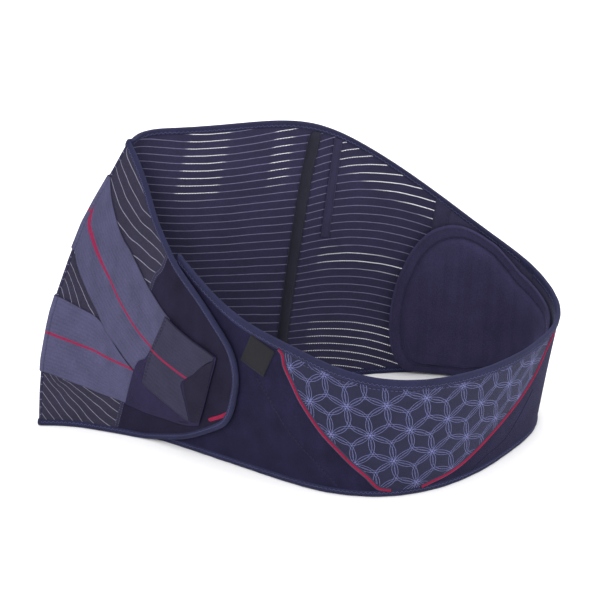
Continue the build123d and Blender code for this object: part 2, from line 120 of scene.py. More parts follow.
class Surf:
    """Smooth ruled cloth surface; s along the belt, t up the cloth, in mm."""
    N = 2001

    def __init__(self, rows, outward, side):
        P = np.array(rows, float)
        P[:, [0, 3]] += SX
        P[:, [1, 4]] += SY
        k = np.r_[0, np.cumsum(np.linalg.norm(np.diff(P, axis=0), axis=1))]
        m, h = len(P), np.diff(k)
        A, R = np.zeros((m, m)), np.zeros_like(P)
        A[0, 0] = A[-1, -1] = 1
        for i in range(1, m - 1):
            A[i, i - 1], A[i, i], A[i, i + 1] = h[i - 1], 2 * (h[i - 1] + h[i]), h[i]
            R[i] = 6 * ((P[i + 1] - P[i]) / h[i] - (P[i] - P[i - 1]) / h[i - 1])
        M = np.linalg.solve(A, R)
        x = np.linspace(0, k[-1], self.N)
        i = np.clip(np.searchsorted(k, x, side="right") - 1, 0, m - 2)
        a, b, H = ((k[i + 1] - x) / h[i])[:, None], ((x - k[i]) / h[i])[:, None], h[i][:, None]
        self.W = a * P[i] + b * P[i + 1] + ((a ** 3 - a) * M[i] + (b ** 3 - b) * M[i + 1]) * H * H / 6
        self.W[:, 2] = np.maximum(self.W[:, 2], 0)
        self.side = side
        self.sgn = 1.0
        n = self.normal(np.array([0.5]), np.array([0.5]))[0]
        self.sgn = 1.0 if n @ np.array(outward) > 0 else -1.0
        self.flatten()

    def rows(self, s):
        x = np.clip(np.asarray(s, float), -0.01, 1.01) * (self.N - 1)
        i = np.clip(np.floor(x).astype(int), 0, self.N - 2)
        f = (x - i)[..., None]
        return self.W[i] * (1 - f) + self.W[i + 1] * f

    def base(self, s, t):
        w = self.rows(s)
        t = np.asarray(t, float)[..., None]
        p = w[..., :3] * (1 - t) + w[..., 3:] * t
        reach = 0.095 if self.side == "wall" else 0.13
        f = np.clip(1 - np.asarray(s) / reach, 0, 1) ** 2
        p = p.copy()
        p[..., 0] -= np.interp(t[..., 0], BULGE_T, BULGE) * f
        return p

    def tangents(self, s, t):
        e = 0.0012
        ds = self.base(np.asarray(s) + e, t) - self.base(np.asarray(s) - e, t)
        dt = self.base(s, np.asarray(t) + .01) - self.base(s, np.asarray(t) - .01)
        return ds / np.linalg.norm(ds, axis=-1, keepdims=True), dt / np.linalg.norm(dt, axis=-1, keepdims=True)

    def normal(self, s, t):
        a, b = self.tangents(np.clip(s, 0.0015, 0.9985), t)
        n = np.cross(a, b) * self.sgn
        return n / np.linalg.norm(n, axis=-1, keepdims=True)

    def wave(self, s, t):
        """Shallow unevenness of the cloth, the same for every layer on it."""
        if self.side == "wall":
            u = np.asarray(s) * 837
            e = np.clip((np.asarray(s) - .02) / .06, 0, 1) * np.clip((1 - np.asarray(s)) / .1, 0, 1)
            return e * np.sin(np.pi * np.clip(t, 0, 1)) * (
                0.55 * np.sin(u / 31 + 1.0 + 1.3 * np.asarray(t)) + 0.35 * np.sin(u / 17.3 + 2.1 * np.asarray(t)) + 0.3 * np.sin(u / 47 + 4 * np.asarray(t)))
        u = np.asarray(s) * 205
        return 0.35 * np.clip(np.asarray(s) / .1, 0, 1) * np.sin(np.pi * np.clip(t, 0, 1)) * np.sin(u / 15 + 2.2 * np.asarray(t))

    def P(self, s, t, off=0.0):
        s, t = np.broadcast_arrays(np.asarray(s, float), np.asarray(t, float))
        n = self.normal(s, t)
        return self.base(s, t) + n * (np.asarray(off) + self.wave(s, t))[..., None]

    def flatten(self):
        """Lay the ruled strip out flat, in mm, so weaves run true."""
        A, B, n = self.W[:, :3], self.W[:, 3:], self.N
        a, b = np.zeros((n, 2)), np.zeros((n, 2))
        b[0] = (0, np.linalg.norm(B[0] - A[0]))
        L = lambda p, q: float(np.linalg.norm(p - q))

        def tri(p, q, dp, dq, side):
            d = math.hypot(*(q - p))
            x = (dp * dp - dq * dq + d * d) / (2 * d)
            y = math.sqrt(max(dp * dp - x * x, 0))
            e = (q - p) / d
            return p + e * x + np.array([e[1], -e[0]]) * y * side
        for i in range(n - 1):
            a[i + 1] = tri(a[i], b[i], L(A[i + 1], A[i]), L(A[i + 1], B[i]), 1)
            b[i + 1] = tri(b[i], a[i + 1], L(B[i + 1], B[i]), L(B[i + 1], A[i + 1]), -1)
        self.a2, self.b2 = a, b

    def flat(self, s, t):
        x = np.clip(np.asarray(s, float), 0, 1) * (self.N - 1)
        i = np.clip(np.floor(x).astype(int), 0, self.N - 2)
        f = (x - i)[..., None]
        t = np.asarray(t, float)[..., None]
        return (self.a2[i] * (1 - f) + self.a2[i + 1] * f) * (1 - t) + (self.b2[i] * (1 - f) + self.b2[i + 1] * f) * t


wall = Surf(WALL, (1, -0.2, 0), "wall")
flap = Surf(FLAP, (-1, -1, 0), "flap")


def slit_row(s, t):
    """Which row of slits a point of the back is on; whole numbers are rows."""
    s, t = np.asarray(s, float), np.asarray(t, float)
    left = 36.429 - 33.206 * t - 37.735 * s + 5.749 * s * t + 37.648 * s * s - 4.749 * t * t + 119.579 * s * s * t
    q = 18.014 - 53.764 * t + 45.206 * s + 87.444 * s * t - 130.732 * s * s + 11.0
    k = np.clip((s - 0.208) / 0.007, 0, 1)
    return left * (1 - k) + q * k


# points on the slanting rows of the flap, by row number, in (s, t)
FLAP_ROWS = {
    0: [(.048, .961), (.093, .955), (.168, .955)], 1: [(.009, .934), (.088, .907), (.13, .903), (.203, .905)],
    2: [(.004, .915), (.029, .896), (.066, .876), (.093, .862), (.137, .857), (.189, .861), (.255, .884)],
    3: [(.048, .846), (.069, .828), (.112, .811), (.162, .811), (.23, .828), (.313, .873)],
    4: [(.129, .765), (.181, .766), (.255, .795), (.329, .828), (.413, .876)],
    5: [(.224, .734), (.307, .768), (.387, .811)],
    10: [(.004, .595), (.013, .575), (.024, .548), (.041, .517), (.051, .494), (.062, .475), (.078, .448)],
    11: [(.006, .564), (.014, .541), (.027, .506), (.041, .471), (.051, .444)],
    12: [(.008, .533), (.019, .498), (.031, .459)],
    19: [(.044, .181), (.086, .154), (.149, .12), (.2, .097), (.26, .066)],
    20: [(.026, .197), (.07, .147), (.138, .097), (.209, .05)], 21: [(.012, .205), (.049, .151), (.098, .097), (.157, .046)],
    22: [(.007, .190), (.029, .152), (.059, .104), (.112, .054)], 23: [(.004, .162), (.02, .131), (.044, .094), (.077, .05)],
    24: [(.007, .118), (.024, .085), (.049, .050)]}
_pts = np.array([(a, b) for k in FLAP_ROWS for a, b in FLAP_ROWS[k]])
_val = np.array([float(k) for k in FLAP_ROWS for _ in FLAP_ROWS[k]])


def _tps(a, b):
    d = np.sqrt(((a[:, None, 0] - b[None, :, 0]) * 1.6) ** 2 + (a[:, None, 1] - b[None, :, 1]) ** 2)
    return d * d * np.log(d + 1e-9)


_n = len(_pts)
_A = np.zeros((_n + 3, _n + 3))
_A[:_n, :_n] = _tps(_pts, _pts) + np.eye(_n) * 4e-4
_A[:_n, _n:] = np.c_[np.ones(_n), _pts]
_A[_n:, :_n] = _A[:_n, _n:].T
_w = np.linalg.solve(_A, np.r_[_val, 0, 0, 0])


def flap_row(s, t):
    s, t = np.broadcast_arrays(np.asarray(s, float), np.asarray(t, float))
    q = np.stack([s.ravel(), t.ravel()], -1)
    v = _tps(q, _pts) @ _w[:_n] + np.c_[np.ones(len(q)), q] @ _w[_n:]
    return v.reshape(s.shape)


class Fold:
    """The turn of the cloth round the edge casing; f from the back to the flap."""

    def base(self, f, t):
        f = np.asarray(f, float)[..., None]
        z = np.zeros_like(t)
        p0, p1 = wall.P(z, t), flap.P(z, t)
        d0 = -wall.tangents(z + 0.002, t)[0]
        d1 = flap.tangents(z + 0.002, t)[0]
        m = np.linalg.norm(p1 - p0, axis=-1, keepdims=True) * 1.9
        return ((2 * f ** 3 - 3 * f ** 2 + 1) * p0 + (f ** 3 - 2 * f ** 2 + f) * m * d0
                + (-2 * f ** 3 + 3 * f ** 2) * p1 + (f ** 3 - f ** 2) * m * d1)

    def P(self, f, t, off):
        f, t = np.broadcast_arrays(np.asarray(f, float), np.asarray(t, float))
        p = self.base(f, t)
        e = 0.02
        a = self.base(np.clip(f + e, 0, 1), t) - self.base(np.clip(f - e, 0, 1), t)
        b = self.base(f, t + .01) - self.base(f, t - .01)
        n = np.cross(a, b)
        n /= np.linalg.norm(n, axis=-1, keepdims=True)
        z = np.zeros_like(t)
        n0, n1 = wall.normal(z, t), flap.normal(z, t)
        mid = n0 * (1 - f)[..., None] + n1 * f[..., None]
        away = mid + np.array([-1.0, 0, 0]) * (np.sin(np.pi * f))[..., None]
        s = np.sign(np.sum(n * away, axis=-1, keepdims=True))
        return p + n * s * np.asarray(off)[..., None] if np.ndim(off) else p + n * s * off


fold = Fold()


def across(q, t, off):
    """One coordinate over back, fold and flap: q<0 back, 0..1 fold, >1 flap."""
    q, t = np.broadcast_arrays(np.asarray(q, float), np.asarray(t, float))
    off = np.broadcast_to(np.asarray(off, float), q.shape)
    out = np.zeros(q.shape + (3,))
    a, c = q < 0, q > 1
    b = ~(a | c)
    if a.any():
        out[a] = wall.P(-q[a], t[a], off[a])
    if b.any():
        out[b] = fold.P(q[b], t[b], off[b])
    if c.any():
        out[c] = flap.P(q[c] - 1, t[c], off[c])
    return out


# -------------------------------------------------------------- mesh building
MADE = {}


def add_mesh(name, V, F, mats, mat_ids=None, attrs=None, smooth=True):
    me = bpy.data.meshes.new(name)
    me.from_pydata([tuple(v) for v in (np.asarray(V) * MM).tolist()], [], [tuple(f) for f in F])
    me.update()
    for m in (mats if isinstance(mats, (list, tuple)) else [mats]):
        me.materials.append(m)
    if mat_ids is not None:
        me.polygons.foreach_set("material_index", np.asarray(mat_ids, dtype=np.int32))
    me.polygons.foreach_set("use_smooth", [smooth] * len(me.polygons))
    for key, val in (attrs or {}).items():
        a = me.attributes.new(key, "FLOAT_VECTOR", "POINT")
        a.data.foreach_set("vector", np.asarray(val, np.float32).ravel())
    o = bpy.data.objects.new(name, me)
    bpy.context.scene.collection.objects.link(o)
    MADE[name] = o
    return o


def box_topology(n, m, closed_edge=True):
    """Faces of a closed sheet from two n x m grids, outer then inner; and which is which."""
    F, I = [], []
    idx = lambda k, i, j: k * n * m + i * m + j
    for i in range(n - 1):
        for j in range(m - 1):
            F.append((idx(0, i, j), idx(0, i + 1, j), idx(0, i + 1, j + 1), idx(0, i, j + 1)))
            I.append(0)
            F.append((idx(1, i, j), idx(1, i, j + 1), idx(1, i + 1, j + 1), idx(1, i + 1, j)))
            I.append(1)
    for i in range(n - 1):
        F.append((idx(0, i, 0), idx(1, i, 0), idx(1, i + 1, 0), idx(0, i + 1, 0)))
        F.append((idx(0, i, m - 1), idx(0, i + 1, m - 1), idx(1, i + 1, m - 1), idx(1, i, m - 1)))
        I += [2, 2]
    for j in range(m - 1):
        F.append((idx(0, 0, j), idx(0, 0, j + 1), idx(1, 0, j + 1), idx(1, 0, j)))
        F.append((idx(0, n - 1, j), idx(1, n - 1, j), idx(1, n - 1, j + 1), idx(0, n - 1, j + 1)))
        I += [2, 2]
    return F, I


def orient(o):
    """Make the faces point out of a closed mesh."""
    import bmesh
    bm = bmesh.new()
    bm.from_mesh(o.data)
    bmesh.ops.recalc_face_normals(bm, faces=bm.faces)
    bm.to_mesh(o.data)
    bm.free()


def shell(name, fn, S, T0, T1, m, o0, o1, mats, attrs=None, ids=(0, 0, 0), round_s=True, round_t=True, ease=None):
    """Closed thin piece over fn(s, t, offset) with rounded edges.
    S is (n,), T0 and T1 the limits at each s, m rows up."""
    S = np.asarray(S, float)
    n = len(S)
    b = np.linspace(0, 1, m)
    if round_t:
        b = np.r_[0, 0.012, 0.05, np.linspace(0, 1, m)[1:-1], 0.95, 0.988, 1]
        b = np.unique(np.round(b, 5))
    mm = len(b)
    SS = np.repeat(S[:, None], mm, 1)
    TT = np.asarray(T0)[:, None] * (1 - b) + np.asarray(T1)[:, None] * b
    h, mid = (o1 - o0) / 2, (o1 + o0) / 2
    prof = np.ones((n, mm))
    if round_t:
        prof[:, 0] = prof[:, -1] = 0.35
        prof[:, 1] = prof[:, -2] = 0.8
    if round_s:
        prof[0] *= 0.45
        prof[-1] *= 0.45
    extra = ease(SS, TT) if ease else 0.0
    Po = fn(SS, TT, mid + h * prof + extra)
    Pi = fn(SS, TT, mid - h * prof + extra)
    V = np.concatenate([Po.reshape(-1, 3), Pi.reshape(-1, 3)])
    F, I = box_topology(n, mm)
    at = {}
    for k, f in (attrs or {}).items():
        v = f(SS, TT)
        at[k] = np.concatenate([v.reshape(-1, 3)] * 2)
    o = add_mesh(name, V, F, mats, [ids[i] for i in I], at)
    orient(o)
    return o


def samples(s0, s1, n, ends=0.0006):
    return np.r_[s0, s0 + ends, np.linspace(s0, s1, n)[1:-1], s1 - ends, s1]


def fab_wall(s, t):
    f = wall.flat(s, t)
    return np.stack([f[..., 0], f[..., 1], slit_row(s, t)], -1)


BACK_UP_HI = [(0.0, 0.885), (0.040, 0.800), (0.075, 0.757), (0.105, 0.753), (0.165, 0.765), (0.190, 0.790), (0.243, 0.885), (0.261, 0.869), (0.292, 0.857)]
BACK_UP_LO = [(0.0, 0.655), (0.050, 0.560), (0.100, 0.500), (0.164, 0.488), (0.196, 0.492), (0.223, 0.546), (0.266, 0.569), (0.292, 0.577)]
BACK_LO_HI = [(0.0, 0.485), (0.050, 0.440), (0.100, 0.400), (0.170, 0.375), (0.200, 0.390), (0.226, 0.469), (0.269, 0.496), (0.292, 0.507)]
BACK_LO_LO = [(0.0, 0.210), (0.100, 0.205), (0.226, 0.255), (0.292, 0.257)]


def gap_wall(s, t):
    """1 where the open rows have nothing behind them: clear of straps and backing. The mesh material cuts real holes
    there and also paints those rows near-white as painted backdrop light.
    """
    s, t = np.broadcast_arrays(np.asarray(s, float), np.asarray(t, float))
    st = lambda x, e: np.clip(x / e + 0.5, 0, 1)
    tab = lambda v: np.interp(s, [p[0] for p in v], [p[1] for p in v])
    hi, lo, lh, ll = tab(BACK_UP_HI), tab(BACK_UP_LO), tab(BACK_LO_HI), tab(BACK_LO_LO)
    win = lambda a, b: st(s - a, 0.004) * st(b - s, 0.004)
    top = st(t - hi, 0.02)
    near = np.maximum(win(0.071, 0.115), win(0.168, 0.188)) * top
    far = win(0.236, 0.36) * (top + st(lo - t, 0.02) * st(t - lh, 0.02) + st(ll - t, 0.02))
    g = np.clip(np.maximum(near, far), 0, 1)
    return np.stack([g, g * 0, g * 0], -1)


def fab_flap(s, t):
    f = flap.flat(s, t)
    return np.stack([f[..., 0], f[..., 1], flap_row(s, t)], -1)


def frame_of(fn, s, t, ds=0.001, dt=0.01):
    p = fn(s, t, 0.0)
    a = fn(s + ds, t, 0.0) - fn(s - ds, t, 0.0)
    b = fn(s, t + dt, 0.0) - fn(s, t - dt, 0.0)
    return p, a, b


def path_points(fn, path, n, off):
    """Even points, tangents, side vectors and normals along a path of (s, t) on fn."""
    q = smooth_curve(path, 500) if len(path) > 2 else np.linspace(path[0], path[1], 500)
    p = fn(q[:, 0], q[:, 1], off)
    L = np.r_[0, np.cumsum(np.linalg.norm(np.diff(p, axis=0), axis=1))]
    x = np.linspace(0, L[-1], n)
    qs = np.stack([np.interp(x, L, q[:, 0]), np.interp(x, L, q[:, 1])], 1)
    p = fn(qs[:, 0], qs[:, 1], off)
    up = fn(qs[:, 0], qs[:, 1], off + 1.0) - p
    up /= np.linalg.norm(up, axis=1)[:, None]
    d = np.gradient(p, axis=0)
    d /= np.linalg.norm(d, axis=1)[:, None]
    side = np.cross(up, d)
    side /= np.linalg.norm(side, axis=1)[:, None]
    return qs, p, d, side, up, L[-1]


def sweep(name, p, side, up, profile, mats, cap=True, fab=None, closed=False, scale=None):
    """Sweep a closed profile of (side, up) points, mm, along p."""
    pr = np.asarray(profile, float)
    n, k = len(p), len(pr)
    V = p[:, None, :] + pr[None, :, 0:1] * side[:, None, :] * (1 if scale is None else scale[:, None, None]) \
        + pr[None, :, 1:2] * up[:, None, :] * (1 if scale is None else scale[:, None, None])
    V = V.reshape(-1, 3)
    F = []
    for i in range(n - 1):
        for j in range(k):
            a, b = i * k + j, i * k + (j + 1) % k
            F.append((a, b, b + k, a + k))
    if cap:
        F.append(tuple(range(k))[::-1])
        F.append(tuple((n - 1) * k + j for j in range(k)))
    L = np.r_[0, np.cumsum(np.linalg.norm(np.diff(p, axis=0), axis=1))]
    w = np.r_[0, np.cumsum(np.linalg.norm(np.diff(np.r_[pr, pr[:1]], axis=0), axis=1))][:k]
    at = np.stack([np.repeat(L[:, None], k, 1), np.repeat(w[None, :], n, 0), np.zeros((n, k))], -1)
    o = add_mesh(name, V, F, mats, None, {"fab": at.reshape(-1, 3)})
    orient(o)
    return o


def stitches(name, runs, mats, length=2.3, gap=0.9, r=0.28, zig=0.0, lift=0.12, body=None):
    """Short thread stitches, each a tapered capsule, along runs of points.
    A run is (points, side, up) sampled finely; zig is the half width of a zigzag."""
    V, F, A = [], [], []
    rng = np.random.RandomState(5)
    ring = 6
    prof = [(-0.5, 0.25, -1.0), (-0.42, 0.8, -0.4), (-0.2, 1.0, 0.35), (0.2, 1.0, 0.35), (0.42, 0.8, -0.4), (0.5, 0.25, -1.0)]
    for P, side, up in runs:
        L = np.r_[0, np.cumsum(np.linalg.norm(np.diff(P, axis=0), axis=1))]
        step = length + gap if zig == 0 else length
        cnt = int(L[-1] / step)
        at = lambda x, M: np.array([np.interp(x, L, M[:, c]) for c in range(3)])
        for i in range(cnt):
            x0 = (i + 0.5) * step - length / 2 + (gap / 2 if zig == 0 else 0)
            x1 = x0 + length * (1 if zig == 0 else 0.98)
            a, b = at(x0, P), at(x1, P)
            sd, u = at((x0 + x1) / 2, side), at((x0 + x1) / 2, up)
            if zig:
                z = zig if i % 2 else -zig
                a, b = a - sd * z, b + sd * z
            j = rng.uniform(-0.06, 0.06, 2)
            a, b = a + sd * j[0], b + sd * j[1]
            d = b - a
            ln = np.linalg.norm(d)
            d /= ln
            sv = np.cross(u, d)
            sv /= np.linalg.norm(sv)
            base = len(V)
            for (f, rr, h) in prof:
                c = (a + b) / 2 + d * ln * f + u * (h * r * 0.8 + lift)
                for k in range(ring):
                    w = 2 * math.pi * k / ring
                    V.append(c + (sv * math.cos(w) + u * math.sin(w)) * r * rr)
                    A.append((x0, w, 0))
            for q in range(len(prof) - 1):
                for k in range(ring):
                    p0, p1 = base + q * ring + k, base + q * ring + (k + 1) % ring
                    F.append((p0, p1, p1 + ring, p0 + ring))
            F.append(tuple(base + k for k in range(ring))[::-1])
            F.append(tuple(base + (len(prof) - 1) * ring + k for k in range(ring)))
    return add_mesh(name, np.array(V), F, mats, None, {"fab": np.array(A, float)})


# ------------------------------------------------------------------ materials
def lin_rgb(r, g, b):
    f = lambda c: (c / 255) / 12.92 if c / 255 <= 0.04045 else ((c / 255 + 0.055) / 1.055) ** 2.4
    return (f(r), f(g), f(b), 1.0)


class Mat:
    """A small wrapper that makes building node materials short."""

    def __init__(self, name):
        self.mat = bpy.data.materials.new(name)
        self.mat.use_nodes = True
        self.t = self.mat.node_tree
        self.t.nodes.clear()
        self.out = self.node("ShaderNodeOutputMaterial")

    def node(self, kind, **kw):
        n = self.t.nodes.new(kind)
        for k, v in kw.items():
            setattr(n, k, v)
        return n

    def put(self, sock, v):
        if isinstance(v, bpy.types.NodeSocket):
            self.t.links.new(v, sock)
        else:
            sock.default_value = v

    def m(self, op, a, b=None, c=None, clamp=False):
        n = self.node("ShaderNodeMath", operation=op, use_clamp=clamp)
        for i, v in enumerate((a, b, c)):
            if v is not None:
                self.put(n.inputs[i], v)
        return n.outputs[0]

    def fab(self, name="fab"):
        n = self.node("ShaderNodeAttribute", attribute_name=name, attribute_type="GEOMETRY")
        s = self.node("ShaderNodeSeparateXYZ")
        self.t.links.new(n.outputs["Vector"], s.inputs[0])
        return n.outputs["Vector"], s.outputs[0], s.outputs[1], s.outputs[2]

    def obj(self):
        return self.node("ShaderNodeTexCoord").outputs["Object"]

    def vec(self, x, y, z=0.0):
        n = self.node("ShaderNodeCombineXYZ")
        for i, v in enumerate((x, y, z)):
            self.put(n.inputs[i], v)
        return n.outputs[0]

    def noise(self, v, scale, detail=2.0, rough=0.5, what="Fac"):
        n = self.node("ShaderNodeTexNoise")
        self.put(n.inputs["Vector"], v)
        n.inputs["Scale"].default_value = scale
        n.inputs["Detail"].default_value = detail
        n.inputs["Roughness"].default_value = rough
        return n.outputs[0] if what == "Fac" else n.outputs["Color"]

    def rng(self, v, a, b, c, d, smooth=False):
        n = self.node("ShaderNodeMapRange")
        if smooth:
            n.interpolation_type = "SMOOTHSTEP"
        for i, x in enumerate((v, a, b, c, d)):
            self.put(n.inputs[i], x)
        return n.outputs[0]

    def mix(self, f, a, b):
        n = self.node("ShaderNodeMix", data_type="RGBA")
        self.put(n.inputs[0], f)
        self.put(n.inputs[6], a)
        self.put(n.inputs[7], b)
        return n.outputs[2]

    def bump(self, h, dist, strength=1.0):
        n = self.node("ShaderNodeBump")
        n.inputs["Strength"].default_value = strength
        n.inputs["Distance"].default_value = dist
        self.put(n.inputs["Height"], h)
        return n.outputs[0]

    def finish(self, color, rough=0.9, normal=None, sheen=0.0, sheen_tint=(1, 1, 1, 1), sheen_rough=0.4,
               alpha=None, metal=0.0, spec=0.3):
        b = self.node("ShaderNodeBsdfPrincipled")
        self.put(b.inputs["Base Color"], color)
        self.put(b.inputs["Roughness"], rough)
        b.inputs["Metallic"].default_value = metal
        b.inputs["Specular IOR Level"].default_value = spec
        b.inputs["Sheen Weight"].default_value = sheen * 0.6
        b.inputs["Sheen Roughness"].default_value = sheen_rough
        b.inputs["Sheen Tint"].default_value = sheen_tint
        if normal is not None:
            self.put(b.inputs["Normal"], normal)
        if alpha is not None:
            self.put(b.inputs["Alpha"], alpha)
        self.t.links.new(b.outputs[0], self.out.inputs[0])
        return self.mat

    def weave(self, u, v, pu, pv):
        """Plain weave height 0..1 from flat coordinates in mm."""
        x = self.m("MULTIPLY", u, 2 * math.pi / pu)
        y = self.m("MULTIPLY", v, 2 * math.pi / pv)
        a = self.m("MULTIPLY", self.m("SINE", x), self.m("SINE", y))
        return self.m("MULTIPLY_ADD", a, 0.5, 0.5)

    def lines(self, q, width, soft=0.25):
        """1 on lines at whole numbers of q, width as a share of the period."""
        f = self.m("FRACT", self.m("ADD", q, 0.5))
        d = self.m("ABSOLUTE", self.m("SUBTRACT", f, 0.5))
        return self.rng(d, width / 2 * (1 + soft), width / 2 * (1 - soft), 0.0, 1.0, True)


def tone(m, v, color, amount=0.16, scale=0.05, fine=0.6, fine_amount=0.10):
    """Colour with broad and fine unevenness."""
    a = m.noise(v, scale, 3.0)
    b = m.noise(v, fine, 2.0)
    dark = tuple(c * (1 - amount * 1.6) for c in color[:3]) + (1,)
    lite = tuple(min(1, c * (1 + amount * 1.6)) for c in color[:3]) + (1,)
    f = m.m("ADD", m.m("MULTIPLY", m.m("SUBTRACT", a, 0.5), 1.6), 0.5, clamp=True)
    c1 = m.mix(f, dark, lite)
    k = m.rng(b, 0.3, 0.7, 1 - fine_amount, 1 + fine_amount)
    n = m.node("ShaderNodeVectorMath", operation="SCALE")
    m.put(n.inputs[0], c1)
    m.put(n.inputs["Scale"], k)
    return n.outputs[0]


def scale_col(m, c, k):
    n = m.node("ShaderNodeVectorMath", operation="SCALE")
    m.put(n.inputs[0], c)
    m.put(n.inputs["Scale"], k)
    return n.outputs[0]


def cloth(name, rgb, pu=1.1, pv=1.1, bump=0.10, sheen=0.25, tint=(200, 205, 255), rough=0.92, amount=0.14,
          sheen_rough=0.45, coord="fab", fine=0.6):
    m = Mat(name)
    v, u, w, r = m.fab(coord)
    h = m.weave(u, w, pu, pv)
    c = tone(m, v, lin_rgb(*rgb), amount, fine=fine)
    c = scale_col(m, c, m.rng(h, 0.0, 1.0, 0.82, 1.12))
    hh = m.m("ADD", h, m.m("MULTIPLY", m.noise(v, 1.4, 3.0), 0.8))
    return m.finish(c, rough, m.bump(hh, bump * MM), sheen, lin_rgb(*tint), sheen_rough)


def pile(name, rgb, sheen=0.6, tint=(150, 150, 215), coord="fab", bump=0.35, amount=0.2, nap=1.1):
    """Brushed pile: fine clumps of nap and slow streaks of lighter and darker lie."""
    m = Mat(name)
    v, u, w, r = m.fab(coord)
    clump = m.noise(v, nap, 4.0, 0.65)
    streak = m.noise(m.vec(m.m("MULTIPLY", u, 0.09), m.m("MULTIPLY", w, 0.03), 0.0), 1.0, 3.0, 0.6)
    c = tone(m, v, lin_rgb(*rgb), amount, fine=1.3, fine_amount=0.14)
    c = scale_col(m, c, m.rng(streak, 0.3, 0.7, 0.86, 1.16))
    c = scale_col(m, c, m.rng(clump, 0.3, 0.7, 0.86, 1.14))
    return m.finish(c, 0.97, m.bump(clump, bump * MM), sheen, lin_rgb(*tint), 0.35, spec=0.15)


def mesh_cloth(name, rgb, line_rgb, width=0.15, alpha=0.25, pitch=7.4, sheen=0.1, sheer=True, dash=2.0):
    """Knitted mesh with rows of open slits, bridged by light threads. Where the mark attribute says a row has nothing
    behind it, the whole row is painted near-white as painted backdrop light, besides its real holes.
    """
    m = Mat(name)
    v, u, w, r = m.fab()
    wob = m.m("MULTIPLY", m.m("SUBTRACT", m.noise(v, 0.05, 2.0), 0.5), 0.16)
    row = m.lines(m.m("ADD", r, wob), width)
    cell = m.m("FRACT", m.m("MULTIPLY", u, 1 / dash))
    slit = m.rng(m.m("ABSOLUTE", m.m("SUBTRACT", cell, 0.5)), 0.40, 0.30, 0.0, 1.0, True)
    hole = m.m("MULTIPLY", row, slit)
    knit = m.weave(u, w, 1.3, 0.9)
    c = tone(m, v, lin_rgb(*rgb), 0.12, fine=0.8, fine_amount=0.16)
    c = scale_col(m, c, m.rng(knit, 0, 1, 0.8, 1.15))
    c = m.mix(m.m("MULTIPLY", row, m.rng(m.noise(v, 0.5, 2.0), 0.3, 0.7, 0.72, 1.0)), c, lin_rgb(*line_rgb))
    h = m.m("SUBTRACT", m.m("ADD", knit, m.noise(v, 1.2, 2.0)), m.m("MULTIPLY", row, 1.2))
    al = None
    if sheer:
        gap = m.fab("mark")[1]
        hole = m.m("MULTIPLY", hole, gap)
        # painted backdrop light: rows with nothing behind them are painted near-white, as if light came through the
        # open slits; the real holes come from the alpha below
        c = m.mix(m.m("MULTIPLY", m.m("MULTIPLY", row, gap), 0.9), c, lin_rgb(240, 240, 248))
        al = m.m("SUBTRACT", 1.0, m.m("MULTIPLY", hole, 1 - alpha))
    return m.finish(c, 0.9, m.bump(h, 0.12 * MM), sheen, lin_rgb(170, 170, 225), 0.4, alpha=al)


def strap_cloth(name, rgb, line=None, coord="fab"):
    """Elastic webbing ribbed across its width; attribute z is 0..1 up the strap."""
    m = Mat(name)
    v, u, w, r = m.fab(coord)
    rib = m.m("SINE", m.m("MULTIPLY", r, 2 * math.pi * 21))
    cross = m.m("SINE", m.m("MULTIPLY", u, 2 * math.pi / 1.25))
    h = m.m("ADD", m.m("MULTIPLY", rib, 0.5), m.m("MULTIPLY", cross, 0.4))
    c = tone(m, v, lin_rgb(*rgb), 0.16, fine=0.9, fine_amount=0.13)
    c = scale_col(m, c, m.rng(h, -0.9, 0.9, 0.88, 1.08))
    edge = m.m("ABSOLUTE", m.m("SUBTRACT", r, 0.5))
    c = scale_col(m, c, m.rng(edge, 0.455, 0.49, 1.0, 0.62, True))
    if line is not None:
        _, dx, dy, dz = m.fab("mark")
        on = m.rng(m.m("ABSOLUTE", dx), 1.15, 0.85, 0.0, 1.0, True)
        flick = m.rng(m.noise(v, 0.6, 2.0), 0.3, 0.6, 0.72, 1.0)
        c = m.mix(m.m("MULTIPLY", on, flick), c, lin_rgb(122, 8, 54))
    return m.finish(c, 0.85, m.bump(h, 0.07 * MM), 0.15, lin_rgb(170, 170, 225), 0.4)


